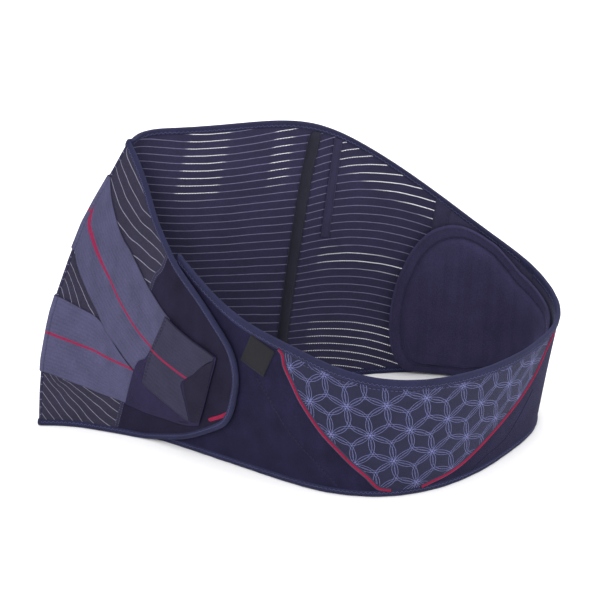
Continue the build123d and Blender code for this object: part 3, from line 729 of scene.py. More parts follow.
def petal_print(name):
    """Navy twill with a light line lattice of overlapping petals and small rings."""
    m = Mat(name)
    v, u, w, r = m.fab()
    wob = m.m("MULTIPLY", m.m("SUBTRACT", m.noise(v, 0.12, 1.0), 0.5), 0.8)
    x0, y0 = m.m("ADD", u, wob), w
    a, hh = 29.1, 25.2                           # flower spacing, mm; petals arc about the points between flowers
    best = None
    for cx, cy, rings in ((0.0, 0.0, ((1.9, 0.16), (0.45, 0.3))), (14.55, 8.4, ((16.75, 0.15), (14.9, 0.11))), (14.55, -8.4, ((16.75, 0.15), (14.9, 0.11)))):
        for off in (0.0, 0.5):
            fx = m.m("FRACT", m.m("ADD", m.m("DIVIDE", m.m("ADD", x0, cx), a), off))
            fy = m.m("FRACT", m.m("ADD", m.m("DIVIDE", m.m("ADD", y0, cy), 2 * hh), off))
            for i in (0, 1):
                for j in (0, 1):
                    px = m.m("MULTIPLY", m.m("SUBTRACT", fx, float(i)), a)
                    py = m.m("MULTIPLY", m.m("SUBTRACT", fy, float(j)), 2 * hh)
                    d = m.m("SQRT", m.m("ADD", m.m("MULTIPLY", px, px), m.m("MULTIPLY", py, py)))
                    for rad, wd in rings:
                        e = m.m("SUBTRACT", m.m("ABSOLUTE", m.m("SUBTRACT", d, rad)), wd)
                        best = e if best is None else m.m("MINIMUM", best, e)
    line = m.rng(best, 0.12, -0.12, 0.0, 1.0, True)
    tw = m.m("SINE", m.m("MULTIPLY", m.m("ADD", u, w), 2 * math.pi / 0.9))
    c = tone(m, v, lin_rgb(24, 25, 50), 0.16, fine=0.9)
    c = scale_col(m, c, m.rng(tw, -1, 1, 0.85, 1.12))
    wear = m.rng(m.noise(v, 0.7, 3.0), 0.3, 0.55, 0.55, 1.0)
    c = m.mix(m.m("MULTIPLY", line, wear), c, lin_rgb(108, 111, 158))
    h = m.m("ADD", m.m("MULTIPLY", tw, 0.5), m.m("ADD", m.noise(v, 1.1, 3.0), m.m("MULTIPLY", line, 0.5)))
    return m.finish(c, 0.88, m.bump(h, 0.1 * MM), 0.2, lin_rgb(170, 175, 230), 0.4)


M = {}
M["slit"] = mesh_cloth("slit_mesh", (35, 33, 59), (106, 104, 132), width=0.095, alpha=0.12)
M["pin"] = mesh_cloth("pinstripe_mesh", (36, 34, 52), (122, 120, 138), width=0.075, alpha=0.85, sheer=False)
M["lining"] = cloth("plain_lining", (44, 42, 66), 0.9, 0.9, 0.06, 0.2)
M["seam_tape"] = cloth("seam_tape_cloth", (38, 36, 62), 0.8, 0.8, 0.06, 0.15)
M["tape_low"] = cloth("flap_seam_cloth", (36, 34, 54), 0.8, 0.8, 0.06, 0.1)
M["facing"] = cloth("facing_cloth", (40, 38, 62), 0.8, 0.8, 0.06, 0.15)
M["velour"] = pile("velour_outer", (24, 22, 46), 0.2, bump=0.5)
M["tongue"] = pile("closure_loop_cloth", (25, 22, 41), 0.15, nap=1.5)
M["print"] = petal_print("petal_cloth")
M["piping"] = cloth("crimson_piping", (126, 8, 50), 1.2, 0.9, 0.14, 0.15, (255, 120, 150), amount=0.10)
M["binding"] = cloth("edge_binding", (27, 28, 57), 1.0, 1.5, 0.14, 0.12, (150, 155, 225), amount=0.14)
M["binding_far"] = cloth("edge_binding_back", (29, 29, 56), 1.0, 1.5, 0.14, 0.12, (150, 155, 225), amount=0.14)
M["strap"] = strap_cloth("elastic_strap", (62, 61, 86))
M["strap_u"] = strap_cloth("elastic_strap_upper", (62, 61, 88), True)
M["strap_l"] = strap_cloth("elastic_strap_lower", (64, 63, 91), True)
M["tab"] = pile("tab_laminate", (36, 32, 57), 0.15, nap=1.8, bump=0.2, amount=0.10)
M["casing"] = cloth("casing_tape", (28, 28, 41), 0.8, 0.8, 0.08, 0.12)
M["label"] = cloth("label_cloth", (24, 24, 28), 0.7, 0.7, 0.06, 0.08, amount=0.10)
M["hook"] = cloth("hook_tape", (26, 26, 36), 1.4, 1.4, 0.5, 0.1)
M["grip"] = cloth("grip_print", (24, 24, 31), 1.6, 1.6, 0.2, 0.05, rough=0.6)
M["pad"] = pile("pad_knit", (45, 42, 68), 0.35, coord="fab", nap=0.9, bump=0.25, amount=0.1)
M["thread"] = cloth("sewing_thread", (72, 72, 108), 0.5, 0.8, 0.08, 0.15)
M["thread_dark"] = cloth("sewing_thread_dark", (30, 30, 44), 0.5, 0.8, 0.08, 0.1)
m_ = Mat("stay_steel")
n_ = m_.noise(m_.obj(), 400.0, 4.0)
M["steel"] = m_.finish(m_.mix(n_, lin_rgb(150, 152, 158), lin_rgb(176, 178, 184)), m_.rng(n_, 0.3, 0.7, 0.28, 0.45), metal=1.0, spec=0.5)
m_ = Mat("foam")
n_ = m_.noise(m_.obj(), 900.0, 4.0)
M["foam"] = m_.finish(m_.mix(n_, lin_rgb(196, 190, 176), lin_rgb(222, 216, 204)), 0.95, m_.bump(n_, 0.3 * MM))


# --------------------------------------------------------------------- pieces
S_SIDE, S_JOIN = 0.3620, 0.4647
J0, J1 = 0.4560, 0.4735                # the cloth that bends at the side seam
EDGE = 3.0                             # panels run this far under the bindings
hgt = lambda sf, s: float(np.linalg.norm(np.diff(sf.rows(np.array([s]))[0].reshape(2, 3), axis=0)))


def grid_shell(name, fn, SS, TT, o0, o1, mats, attrs=None, ids=(0, 0, 0), round_s=True, round_t=True, ease=None):
    """Closed thin piece over a free grid of (s, t)."""
    n, m = SS.shape
    prof = np.ones((n, m))
    if round_t:
        prof[:, 0] = prof[:, -1] = 0.4
    if round_s:
        prof[0] *= 0.4
        prof[-1] *= 0.4
    h, mid = (o1 - o0) / 2, (o1 + o0) / 2
    e = ease(SS, TT) if ease else 0.0
    Po = fn(SS, TT, mid + h * prof + e)
    Pi = fn(SS, TT, mid - h * prof + e)
    F, I = box_topology(n, m)
    at = {}
    for k, f in (attrs or {}).items():
        v = f(SS, TT) if callable(f) else f
        at[k] = np.concatenate([v.reshape(-1, 3)] * 2)
    o = add_mesh(name, np.concatenate([Po.reshape(-1, 3), Pi.reshape(-1, 3)]), F, mats, [ids[i] for i in I], at)
    orient(o)
    return o


def along(P):
    """Flat coordinates of a grid from its own lengths, mm; z is 0..1 across."""
    u = np.concatenate([np.zeros((1, P.shape[1])), np.cumsum(np.linalg.norm(np.diff(P, axis=0), axis=2), 0)])
    v = np.concatenate([np.zeros((P.shape[0], 1)), np.cumsum(np.linalg.norm(np.diff(P, axis=1), axis=2), 1)], 1)
    b = np.repeat(np.linspace(0, 1, P.shape[1])[None, :], P.shape[0], 0)
    return u, v, b


def even(n):
    """0..1 with close samples at both ends, for rounded edges."""
    return np.r_[0, 0.006, np.linspace(0, 1, n)[1:-1], 0.994, 1]


def coons(bottom, top, left, right, n, m):
    """(s, t) grid inside four edge curves; u runs bottom/top, v left/right."""
    def res(c, k):
        c = np.array(c, float)
        d = np.r_[0, np.cumsum(np.hypot(np.diff(c[:, 0]) * 2, np.diff(c[:, 1])))]
        x = even(k) * d[-1]
        return np.stack([np.interp(x, d, c[:, 0]), np.interp(x, d, c[:, 1])], 1)
    B, T, Lf, R = res(bottom, n), res(top, n), res(left, m), res(right, m)
    u, v = even(n)[:, None, None], even(m)[None, :, None]
    g = ((1 - v) * B[:, None] + v * T[:, None] + (1 - u) * Lf[None] + u * R[None]
         - ((1 - u) * (1 - v) * B[0] + u * (1 - v) * B[-1] + (1 - u) * v * T[0] + u * v * T[-1]))
    return g[..., 0], g[..., 1]


def edge_curve(v, s0, s1, n=40):
    """A piece of a limit curve, smoothed, as (s, t) points."""
    v = sorted(v)
    P = np.array(v, float)
    k = P[:, 0]
    x = np.linspace(s0, s1, n)
    xc = np.clip(x, k[0], k[-1])
    y = hermite(k, P[:, 1:], xc)[:, 0]
    return np.stack([x, y], 1)


def on(o, body, *nodes, slot=None):
    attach(o, body)
    if nodes:
        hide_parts(*nodes)
    return o


def seam_blend(o):
    g = wall.P(np.array([S_JOIN]), np.array([0.9]))[0] - wall.P(np.array([S_JOIN]), np.array([0.1]))[0]
    g /= np.linalg.norm(g)
    t = wall.P(np.array([J1]), np.array([0.5]))[0] - wall.P(np.array([J0]), np.array([0.5]))[0]
    c = wall.P(np.array([S_JOIN]), np.array([0.5]))[0]
    d = t - (t @ g) * g
    L = np.linalg.norm(d)
    d /= L
    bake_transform(o)
    return o


def fold_blend(o):
    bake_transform(o)
    return o


FLATS = {}


def sewn(ob, g):
    """Declare a sewn panel by the flat shape it is cut to; g holds its flat coordinates in mm."""
    d1, d2 = g[1:, 1:] - g[:-1, :-1], g[1:, :-1] - g[:-1, 1:]
    ar = float(np.abs(d1[..., 0] * d2[..., 1] - d1[..., 1] * d2[..., 0]).sum() / 2)
    best = None
    for w in np.radians(np.arange(0, 90, 3)):
        x, y = g[..., 0] * math.cos(w) + g[..., 1] * math.sin(w), g[..., 1] * math.cos(w) - g[..., 0] * math.sin(w)
        k = (float(np.ptp(x)), float(np.ptp(y)))
        if best is None or k[0] * k[1] < best[0] * best[1]:
            best = k
    FLATS[ob.name] = (round(best[0]), round(best[1]), round(ar))
    return ob


def panel(name, sf, s0, s1, n, m, mats, ids, fab, o=0.8, e=EDGE, gap=None):
    """A cloth panel between two s limits, each a number or a function of t."""
    f = lambda v, t: np.asarray(v(t) if callable(v) else np.full_like(t, v), float)
    h = hgt(sf, 0.5 * (float(np.mean(f(s0, np.array([.5])))) + float(np.mean(f(s1, np.array([.5]))))))
    t = e / h + (1 - 2 * e / h) * even(m)
    a = even(n)[:, None]
    S0, S1 = f(s0, t)[None, :], f(s1, t)[None, :]
    SS = S0 * (1 - a) + S1 * a
    TT = np.repeat(t[None, :], len(a), 0)
    ob = grid_shell(name, sf.P, SS, TT, -o, o, mats, dict({"fab": fab}, **({"mark": gap} if gap else {})), ids)
    return sewn(ob, fab(SS, TT)[..., :2])


pl = lambda t: np.interp(t, [p[1] for p in PIPE_L], [p[0] for p in PIPE_L])
pr = lambda t: np.interp(t, [p[1] for p in sorted(PIPE_R, key=lambda p: p[1])], [p[0] for p in sorted(PIPE_R, key=lambda p: p[1])])
fs = lambda t: np.interp(t, [p[1] for p in FLAP_SEAM], [p[0] for p in FLAP_SEAM])
g_ = 0.0009

# the loop of cloth
on(panel("back_mesh", wall, 0.0, S_SIDE - 0.0003, 150, 60, [M["slit"]], (0, 0, 0), fab_wall, 0.4, gap=gap_wall), "back", "back_mesh_panel", slot="slit_mesh")
on(panel("side_cloth", wall, S_SIDE + 0.0003, J0, 60, 40, [M["velour"], M["lining"]], (0, 1, 1), fab_wall, 1.0), "back", "side_panel", slot="plain_lining")
seam_blend(panel("side_bend", wall, J0, J1, 14, 40, [M["velour"], M["lining"]], (0, 1, 1), fab_wall, 1.0))
on(panel("front_right_cloth", wall, J1, lambda t: pr(t) - g_, 110, 36, [M["velour"], M["lining"]], (0, 1, 1), fab_wall, 1.0), "front", "front_panel_right", slot="velour")
on(panel("front_print_cloth", wall, lambda t: pr(t) + g_, lambda t: pl(t) - g_, 130, 36, [M["print"], M["lining"]], (0, 1, 1), fab_wall, 1.0), "front", "front_pattern_panel", slot="pattern_cloth")
on(panel("front_left_cloth", wall, lambda t: pl(t) + g_, 0.9985, 90, 40, [M["velour"], M["lining"]], (0, 1, 1), fab_wall, 1.0), "front", "front_panel_left", slot="velour")
on(panel("flap_mesh", flap, 0.0, lambda t: fs(t) - 0.002, 50, 60, [M["pin"]], (0, 0, 0), fab_flap, 0.4), "flap", "flap_mesh_panel", slot="pinstripe_mesh")
on(panel("flap_tongue", flap, lambda t: fs(t) + 0.002, lambda t: 0.9975 - 0.034 * np.abs(2 * t - 1) ** 5, 60, 40, [M["tongue"], M["lining"]], (0, 1, 1), fab_flap, 0.6), "flap", "closure_tongue", slot="velour")

# the fold
FN = 14


def fold_shell(name, tl, th, m, o0, o1, mats, lead=0.0, tail=0.0, attr=None):
    f = np.linspace(0, 1, FN)
    q = np.r_[-np.linspace(lead, 0, 4)[:-1] if lead else [], f, 1 + np.linspace(0, tail, 4)[1:] if tail else []]
    b = even(m)
    lo, hi = (np.full(len(q), float(v)) if np.ndim(v) == 0 else np.interp(q, [q[0], q[-1]], v) for v in (tl, th))
    TT = lo[:, None] * (1 - b) + hi[:, None] * b
    QQ = np.repeat(q[:, None], len(b), 1)
    P = across(QQ, TT, 0.0)
    u, v, w = along(P)
    r = slit_row(np.zeros_like(TT), TT)
    ats = {"fab": np.stack([u, v, r if attr is None else w], -1)}
    if attr is not None:
        c = np.interp(QQ, [0, 1], [attr[0], attr[1]])
        h = np.linalg.norm(P[:, -1] - P[:, 0], axis=1)[:, None] / (hi - lo)[:, None]
        d = (TT - c) * h
        ats["mark"] = np.stack([d, d * 0, d * 0], -1)
    return fold_blend(grid_shell(name, across, QQ, TT, o0, o1, mats, ats, round_s=False))


fold_shell("fold_mesh", 3 / 248, 1 - 3 / 248, 40, -0.5, 0.5, [M["slit"]])

# bindings
def tape_profile(w, h):
    """Folded tape w deep and h proud of each face."""
    half = [(0.02, 0.5), (0.08, 0.8), (0.20, 0.98), (0.45, 1.0), (0.74, 0.93), (0.90, 0.78), (0.985, 0.55), (1.0, 0.32)]
    return [(0, 0)] + [(w * a, h * b) for a, b in half] + [(w * a, -h * b) for a, b in half[::-1]]


def binding(name, fn, q0, q1, n, edge, mats, ends=True, wide=6.2, high=1.75):
    """Folded tape over an edge; edge is 0 below or 1 above."""
    q = np.linspace(q0, q1, n)
    t = np.full(n, float(edge))
    inn = 1 if edge == 0 else -1
    p = fn(q, t, np.zeros(n))
    up = fn(q, t, np.ones(n)) - p
    up /= np.linalg.norm(up, axis=1)[:, None]
    sd = fn(q, t + inn * 0.02, np.zeros(n)) - p
    sd /= np.linalg.norm(sd, axis=1)[:, None]
    L = np.r_[0, np.cumsum(np.linalg.norm(np.diff(p, axis=0), axis=1))]
    prf = np.array(tape_profile(wide, high))
    thick = 1.0
    k = len(prf)
    rip = 1 + 0.05 * np.sin(L / 2.9) + 0.05 * np.sin(L / 7.3 + 1)
    # stitch line pressed into the tape
    sc = np.ones((n, k))
    dip = 1 - 0.20 * (0.5 + 0.5 * np.cos(2 * np.pi * L / 3.3))
    for j, (w, h) in enumerate(prf):
        if wide * 0.44 < w < wide * 0.85:
            sc[:, j] = dip
    end = np.ones(n)
    if ends:
        end[0] = end[-1] = 0.7
    V = p[:, None, :] + (prf[None, :, 0:1]) * sd[:, None, :] + (prf[None, :, 1] * sc * rip[:, None] * thick * end[:, None])[..., None] * up[:, None, :]
    V = V.reshape(-1, 3)
    V[:, 2] = np.maximum(V[:, 2], 0.02)
    F = []
    for i in range(n - 1):
        for j in range(k):
            a, b = i * k + j, i * k + (j + 1) % k
            F.append((a, b, b + k, a + k))
    F.append(tuple(range(k))[::-1])
    F.append(tuple((n - 1) * k + j for j in range(k)))
    at = np.stack([np.repeat(L[:, None], k, 1), np.repeat(prf[None, :, 0] * np.sign(prf[None, :, 1]), n, 0), np.zeros((n, k))], -1)
    o = add_mesh(name, V, F, mats, None, {"fab": at.reshape(-1, 3)})
    orient(o)
    runs = []
    for s in (1, -1):
        line = p + sd * wide * 0.66 + up * s * high * 0.88
        runs.append((line, sd, up * s))
    return o, runs


def wall_fn(s, t, o):
    return wall.P(s, t, o)


def flap_fn(s, t, o):
    return flap.P(s, t, o)


RUNS = {"back": [], "front": [], "flap": []}
for edge, nm in ((1, "top"), (0, "bottom")):
    o, r = binding("back_%s_tape" % nm, wall_fn, 0.0, J0, 420, edge, [M["binding_far"] if edge else M["binding"]], wide=5.6)
    on(o, "back", "back_%s_binding" % nm, slot="edge_binding")
    RUNS["back"] += r
    o, r = binding("side_%s_tape" % nm, wall_fn, J0, J1, 24, edge, [M["binding"]], ends=False)
    seam_blend(o)
    o, r = binding("front_%s_tape" % nm, wall_fn, J1, 0.9985, 520, edge, [M["binding"]], wide=7.4 if edge else 5.6)
    on(o, "front", "front_%s_binding" % nm, slot="edge_binding")
    RUNS["front"] += r
    o, r = binding("fold_%s_tape" % nm, across, 0.0, 1.0, 24, edge, [M["binding"]], ends=False, wide=5.2, high=1.55)
    fold_blend(o)


def end_tape(name, sf, s, sign, mats, n=140, m0=0.0, m1=1.0):
    """Tape over an end of the cloth, from the lower to the upper corner."""
    t = np.linspace(m0, m1, n)
    S = np.full(n, s)
    p = sf.P(S, t, 0.0)
    up = sf.P(S, t, 1.0) - p
    up /= np.linalg.norm(up, axis=1)[:, None]
    sd = sf.P(S - sign * 0.004, t, 0.0) - p
    sd /= np.linalg.norm(sd, axis=1)[:, None]
    L = np.r_[0, np.cumsum(np.linalg.norm(np.diff(p, axis=0), axis=1))]
    o = sweep(name, p, sd, up, np.array(tape_profile(5.2, 1.6)), mats)
    return o, [(p + sd * 3.4 + up * 1.42, sd, up), (p + sd * 3.4 - up * 1.42, sd, -up)]


# one tape runs along the flap's lower edge, round its tip and back along its upper edge
LP = [(0.0, 0.0), (0.2, 0.0), (0.4, 0.0), (0.6, 0.0), (0.8, 0.0), (0.93, 0.0), (0.965, 0.015), (0.985, 0.10), (0.9965, 0.30), (0.9995, 0.55),
      (0.995, 0.80), (0.980, 0.955), (0.955, 0.998), (0.92, 1.0), (0.8, 1.0), (0.6, 1.0), (0.4, 1.0), (0.2, 1.0), (0.0, 1.0)]
q, p, d, sd, up, L = path_points(flap_fn, LP, 700, 0.0)
if np.dot(sd[100], flap.P(np.array([0.2]), np.array([0.5]), 0.0)[0] - p[100]) < 0:
    sd = -sd
pf_ = np.array(tape_profile(5.2, 1.55))
V = p[:, None, :] + pf_[None, :, 0:1] * sd[:, None, :] + pf_[None, :, 1:2] * up[:, None, :]
V = V.reshape(-1, 3)
V[:, 2] = np.maximum(V[:, 2], 0.02)
k_ = len(pf_)
F = [(i * k_ + j, i * k_ + (j + 1) % k_, (i + 1) * k_ + (j + 1) % k_, (i + 1) * k_ + j) for i in range(len(p) - 1) for j in range(k_)]
F += [tuple(range(k_))[::-1], tuple((len(p) - 1) * k_ + j for j in range(k_))]
Lc = np.r_[0, np.cumsum(np.linalg.norm(np.diff(p, axis=0), axis=1))]
at_ = np.stack([np.repeat(Lc[:, None], k_, 1), np.repeat(pf_[None, :, 0] * np.sign(pf_[None, :, 1]), len(p), 0), np.zeros((len(p), k_))], -1)
o = add_mesh("flap_edge_tape", V, F, [M["binding"]], None, {"fab": at_.reshape(-1, 3)})
orient(o)
on(o, "flap", "flap_top_binding", "flap_bottom_binding", "flap_tip_binding", slot="edge_binding")
RUNS["flap"] += [(p + sd * 3.4 + up * 1.38, sd, up), (p + sd * 3.4 - up * 1.38, sd, -up)]
o, r = end_tape("front_end_tape", wall, 0.9990, 1, [M["binding"]])
on(o, "front", slot="edge_binding")
for body, runs in RUNS.items():
    o = stitches("edge_stitches_" + body, runs, [M["thread"]], length=1.7, r=0.2, zig=0.75, lift=0.02)
    on(o, body)


# ------------------------------------------------------ casings and stays
def wide_casing(name, node, s0, s1, stay):
    o0, o1 = 1.1, 3.7
    S = even(12) * (s1 - s0) + s0
    b = even(60)
    t = 0.030 + 0.940 * b
    SS = np.repeat(S[:, None], len(b), 1)
    TT = np.repeat(t[None, :], len(S), 0)
    a = (SS - s0) / (s1 - s0)
    dome = np.sin(np.pi * np.clip(a, 0, 1)) ** 0.35 * np.clip(np.minimum(b, 1 - b)[None, :] / 0.02, 0, 1) ** 0.5
    Po = wall.P(SS, TT, o0 + (o1 - o0) * (0.25 + 0.75 * dome))
    Pi = wall.P(SS, TT, o0)
    F, I = box_topology(*SS.shape)
    f = fab_wall(SS, TT).reshape(-1, 3)
    o = add_mesh(name, np.concatenate([Po.reshape(-1, 3), Pi.reshape(-1, 3)]), F, [M["casing_out"]], None, {"fab": np.concatenate([f, f])})
    orient(o)
    on(o, "back", node, slot="casing_tape")
    sm = (s0 + s1) / 2
    stay_bar(stay + "_bar", sm, 0.053, 0.947, 8.0, 2.0, 2.8, stay)
    runs = []
    for se in (s0 + 0.0022, s1 - 0.0022):
        q, p, d, sd, up, L = path_points(wall_fn, [(se, 0.045), (se, 0.955)], 300, 2.5)
        runs.append((p, sd, up))
    on(stitches(name + "_stitches", runs, [M["thread"]], lift=0.1), "back")


def stay_bar(name, s, t0, t1, half, o0, o1, node, path=None):
    q, p, d, sd, up, L = path_points(wall_fn, [(s, t0), (s, t1)] if path is None else path, 60, (o0 + o1) / 2)
    h = (o1 - o0) / 2
    pr = [(-half, 0), (-half + .3, h), (half - .3, h), (half, 0), (half - .3, -h), (-half + .3, -h)]
    taper = np.clip(np.minimum(np.linspace(0, 1, 60), np.linspace(1, 0, 60)) / 0.03, 0.0, 1) ** 0.5 * 0.35 + 0.65
    sw = sweep(name, p, sd, up, pr, [M["steel"]], scale=taper)
    on(sw, "back", node, slot="stay_steel")


M["casing_out"] = cloth("casing_outer_cloth", (44, 42, 64), 1.0, 1.0, 0.08, 0.25)
wide_casing("centre_casing", "centre_stay_casing", 0.1180, 0.1645, "centre_stay")
wide_casing("spine_casing", "spine_stay_casing", 0.1905, 0.2310, "spine_stay")

# slim dark casing inside the back
S_STAY = 0.2114
STAY_PATH = smooth_curve([(S_STAY - .0005, 0.022), (S_STAY - .003, 0.45), (S_STAY - .003, 0.64), (S_STAY - .002, 0.83), (S_STAY + .001, 0.975)], 60)
q, p, d, sd, up, L = path_points(wall_fn, STAY_PATH, 220, -0.5)
x = np.linspace(0, 1, 220)
rr = np.minimum(1, np.minimum(x, 1 - x) / 0.02)
pr_ = [(-5.2, 0.1), (-5.0, -0.5), (-4.2, -1.5), (-2.8, -2.9), (-1.2, -3.4), (0, -3.5), (1.2, -3.4), (2.8, -2.9), (4.2, -1.5), (5.0, -0.5), (5.2, 0.1)]
on(sweep("inner_casing_tube", p, sd, up, pr_, [M["casing"]], scale=(0.55 + 0.45 * np.sqrt(rr)) * 0.9), "back", "inner_stay_casing", slot="casing_tape")
stay_bar("inner_stay_bar", S_STAY, 0.042, 0.956, 2.0, -2.4, -1.7, "inner_stay", [q_ for q_ in STAY_PATH if 0.045 < q_[1] < 0.95])
runs = []
for sh in (-4.4, 4.4):
    runs.append((p + sd * sh + up * -1.1, sd, -up))
on(stitches("inner_casing_stitches", runs, [M["thread_dark"]], r=0.22, lift=0.05), "back")

# tape over the seam beside it and facing along the end of the mesh
for nm, s0, s1, mt, nodes in (("inner_seam_tape", 0.2345, 0.2440, "seam_tape", ()), ("side_facing_tape", 0.3560, 0.3720, "facing", ("side_facing",))):
    S = s0 + (s1 - s0) * even(10)
    b = 0.022 + 0.956 * even(40) if nodes else 0.60 + 0.375 * even(40)
    SS, TT = np.repeat(S[:, None], len(b), 1), np.repeat(b[None, :], len(S), 0)
    o = grid_shell(nm, wall.P, SS, TT, -1.5, -0.7, [M[mt]], {"fab": fab_wall})
    on(o, "back", *nodes, slot="casing_tape")
    runs = []
    for se in (s0 + 0.0018, s1 - 0.0018):
        q, p2, d2, sd2, up2, L2 = path_points(wall_fn, [(se, 0.03 if nodes else 0.61), (se, 0.97)], 240, -1.5)
        runs.append((p2, sd2, -up2))
    on(stitches(nm + "_stitches", runs, [M["thread_dark"]], r=0.2, lift=0.0), "back")

# edge casing inside the fold, round the thin fold stay
tt = np.linspace(0.018, 0.985, 160)
pw, pf = wall.P(np.full(160, 0.0), tt, 0.0), flap.P(np.full(160, 0.0), tt, 0.0)
mid = (pw + pf) / 2 + np.array([0.4, 0, 0])
dv = np.gradient(mid, axis=0)
dv /= np.linalg.norm(dv, axis=1)[:, None]
sv = np.cross(dv, [0, 1.0, 0])
sv /= np.linalg.norm(sv, axis=1)[:, None]
uv_ = np.cross(sv, dv)
circle = lambda r, k: [(r * math.cos(2 * math.pi * i / k), r * math.sin(2 * math.pi * i / k)) for i in range(k)]
on(sweep("fold_casing_tube", mid, sv, uv_, circle(1.75, 14), [M["casing"]]), "back", "fold_stay_casing", slot="casing_tape")
on(sweep("fold_stay_rod", mid[4:-4], sv[4:-4], uv_[4:-4], circle(0.9, 10), [M["steel"]]), "back", "fold_stay", slot="stay_steel")


# --------------------------------------------------------------- straps, back
def strap_ease(SS, TT):
    """The strap rises from the mesh at the fold to lie over the casings."""
    return -3.25 * np.clip(1 - SS / 0.115, 0, 1) ** 1.2


UP_LINE = [(-0.02, 0.80), (0.0, 0.775), (0.0029, 0.761), (0.0307, 0.691), (0.0729, 0.622), (0.1601, 0.552), (0.2795, 0.502), (0.4232, 0.475), (0.5239, 0.452), (0.6269, 0.429), (0.8, 0.40)]
LO_LINE = [(-0.02, 0.372), (0.0, 0.355), (0.0558, 0.324), (0.1558, 0.305), (0.3224, 0.313), (0.45, 0.335)]


def mark(line, SS, TT):
    """Distance in mm from the woven line, over the flap."""
    x = np.clip(SS, -0.02, 0.8)
    k = np.array([p[0] for p in line])
    tl = hermite(k, np.array([[p[1]] for p in line]), x.ravel())[:, 0].reshape(x.shape)
    e = 0.01
    slope = (hermite(k, np.array([[p[1]] for p in line]), np.clip(x + e, -0.02, 0.8).ravel())[:, 0].reshape(x.shape) - tl) / e
    w = flap.rows(np.clip(SS, 0, 1))
    h = np.linalg.norm(w[..., 3:] - w[..., :3], axis=-1)
    c = 1 / np.sqrt(1 + (slope * h / 205) ** 2)
    d = (TT - tl) * h * c
    return np.stack([d, d * 0, d * 0], -1)


def strap_piece(name, fn, B, T, L, R, n, m, o0, o1, mats, body, nodes, slot_, ease=None, round_s=True, line=None):
    """A flat strap inside four edge curves; with body None its transform is baked in and it is left without a body."""
    SS, TT = coons(B, T, L, R, n, m)
    P = fn(SS, TT, (o0 + o1) / 2)
    u, v, w = along(P)
    at = {"fab": np.stack([u, v, w], -1)}
    if line is not None:
        at["mark"] = mark(line, SS, TT)
    o = grid_shell(name, fn, SS, TT, o0, o1, mats, at, ease=ease, round_s=round_s)
    sewn(o, np.stack([u, v], -1))
    if body is None:
        root_blend(o)
        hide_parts(*nodes)
    else:
        on(o, body, *nodes, slot=slot_)
    return o, SS, TT


for nm, lo, hi, mt in (("upper", BACK_UP_LO, BACK_UP_HI, "strap"), ("lower", BACK_LO_LO, BACK_LO_HI, "strap")):
    B, T = edge_curve(lo, 0.0, 0.2905), edge_curve(hi, 0.0, 0.2905)
    strap_piece("back_%s_strap" % nm, wall.P, B, T, [B[0], T[0]], [B[-1], T[-1]], 120, 26, 4.0, 5.2,
                [M[mt]], "back", ("%s_strap_back" % nm,), "elastic_strap", ease=strap_ease, round_s=False)
# over the fold
UP_HI = [(0.0, 0.885), (0.0393, 0.830), (0.0965, 0.761), (0.2051, 0.730), (0.3488, 0.714), (0.4189, 0.707), (0.4968, 0.692), (0.6648, 0.692), (0.8025, 0.737)]
UP_LO = [(0.0, 0.645), (0.0093, 0.614), (0.0443, 0.533), (0.1122, 0.431), (0.2345, 0.357), (0.3946, 0.288), (0.5204, 0.228), (0.6683, 0.132)]
LO_HI = [(0.0, 0.485), (0.0493, 0.452), (0.1122, 0.424), (0.2345, 0.352), (0.3946, 0.284)]
LO_LO = [(0.0, 0.210), (0.0622, 0.178), (0.1515, 0.158), (0.3181, 0.151), (0.4946, 0.135), (0.6698, 0.100), (0.7298, 0.095)]
TAB_SEAM = [(0.318, 0.151), (0.332, 0.285), (0.400, 0.420), (0.4918, 0.676), (0.500, 0.690)]
TAB_END = [(0.7250, 0.096), (0.7360, 0.170), (0.7498, 0.266), (0.7720, 0.459), (0.7960, 0.665), (0.8025, 0.737)]
fold_shell("fold_upper_strap", (0.655, 0.645), 0.885, 22, 0.75, 1.75, [M["strap_u"]], attr=(0.79, 0.775))
fold_shell("fold_lower_strap", 0.210, 0.485, 20, 0.75, 1.75, [M["strap_l"]], attr=(0.36, 0.355))

# the straps leave the fold lying over the flap and run on to the tensor tab
S_T = 0.0


def root_blend(o):
    g = flap.P(np.array([0.05]), np.array([0.8]))[0] - flap.P(np.array([0.05]), np.array([0.2]))[0]
    g /= np.linalg.norm(g)
    t = flap.P(np.array([0.09]), np.array([0.5]))[0] - flap.P(np.array([0.03]), np.array([0.5]))[0]
    d = t - (t @ g) * g
    d /= np.linalg.norm(d)
    c = flap.P(np.array([0.05]), np.array([0.5]))[0]
    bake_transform(o)
    return o


def cut(v, a, b, n=30):
    return edge_curve(v, a, b, n)


def seam_part(v, t0, t1, shift=0.0, n=14):
    t = np.linspace(t0, t1, n)
    return np.stack([np.interp(t, [p[1] for p in v], [p[0] for p in v]) + shift, t], 1)


# each strap runs a few millimetres under the tab
sh = 0.022
B = cut(UP_LO, S_T, 0.3946 + sh)
T = cut(UP_HI, S_T, 0.4918 + sh)
R = np.array([(0.3953, 0.293), (0.4174, 0.448), (0.455, 0.565), (0.4918, 0.692)]) + (sh, 0)
R[0], R[-1] = B[-1], T[-1]
UPPER = strap_piece("tensor_upper_strap", flap.P, B, T, [B[0], T[0]], R, 110, 34, 0.8, 1.8, [M["strap_u"]], None, ("upper_strap", "upper_strap_wrap"), "elastic_strap", line=UP_LINE, round_s=False)
B = cut(LO_LO, S_T, 0.318 + sh)
T = cut(LO_HI, S_T, 0.350 + sh)
strap_piece("tensor_lower_strap", flap.P, B, T, [B[0], T[0]], [B[-1], T[-1]], 90, 28, 0.7, 1.6, [M["strap_l"]], None, ("lower_strap", "lower_strap_wrap"), "elastic_strap", line=LO_LINE, round_s=False)

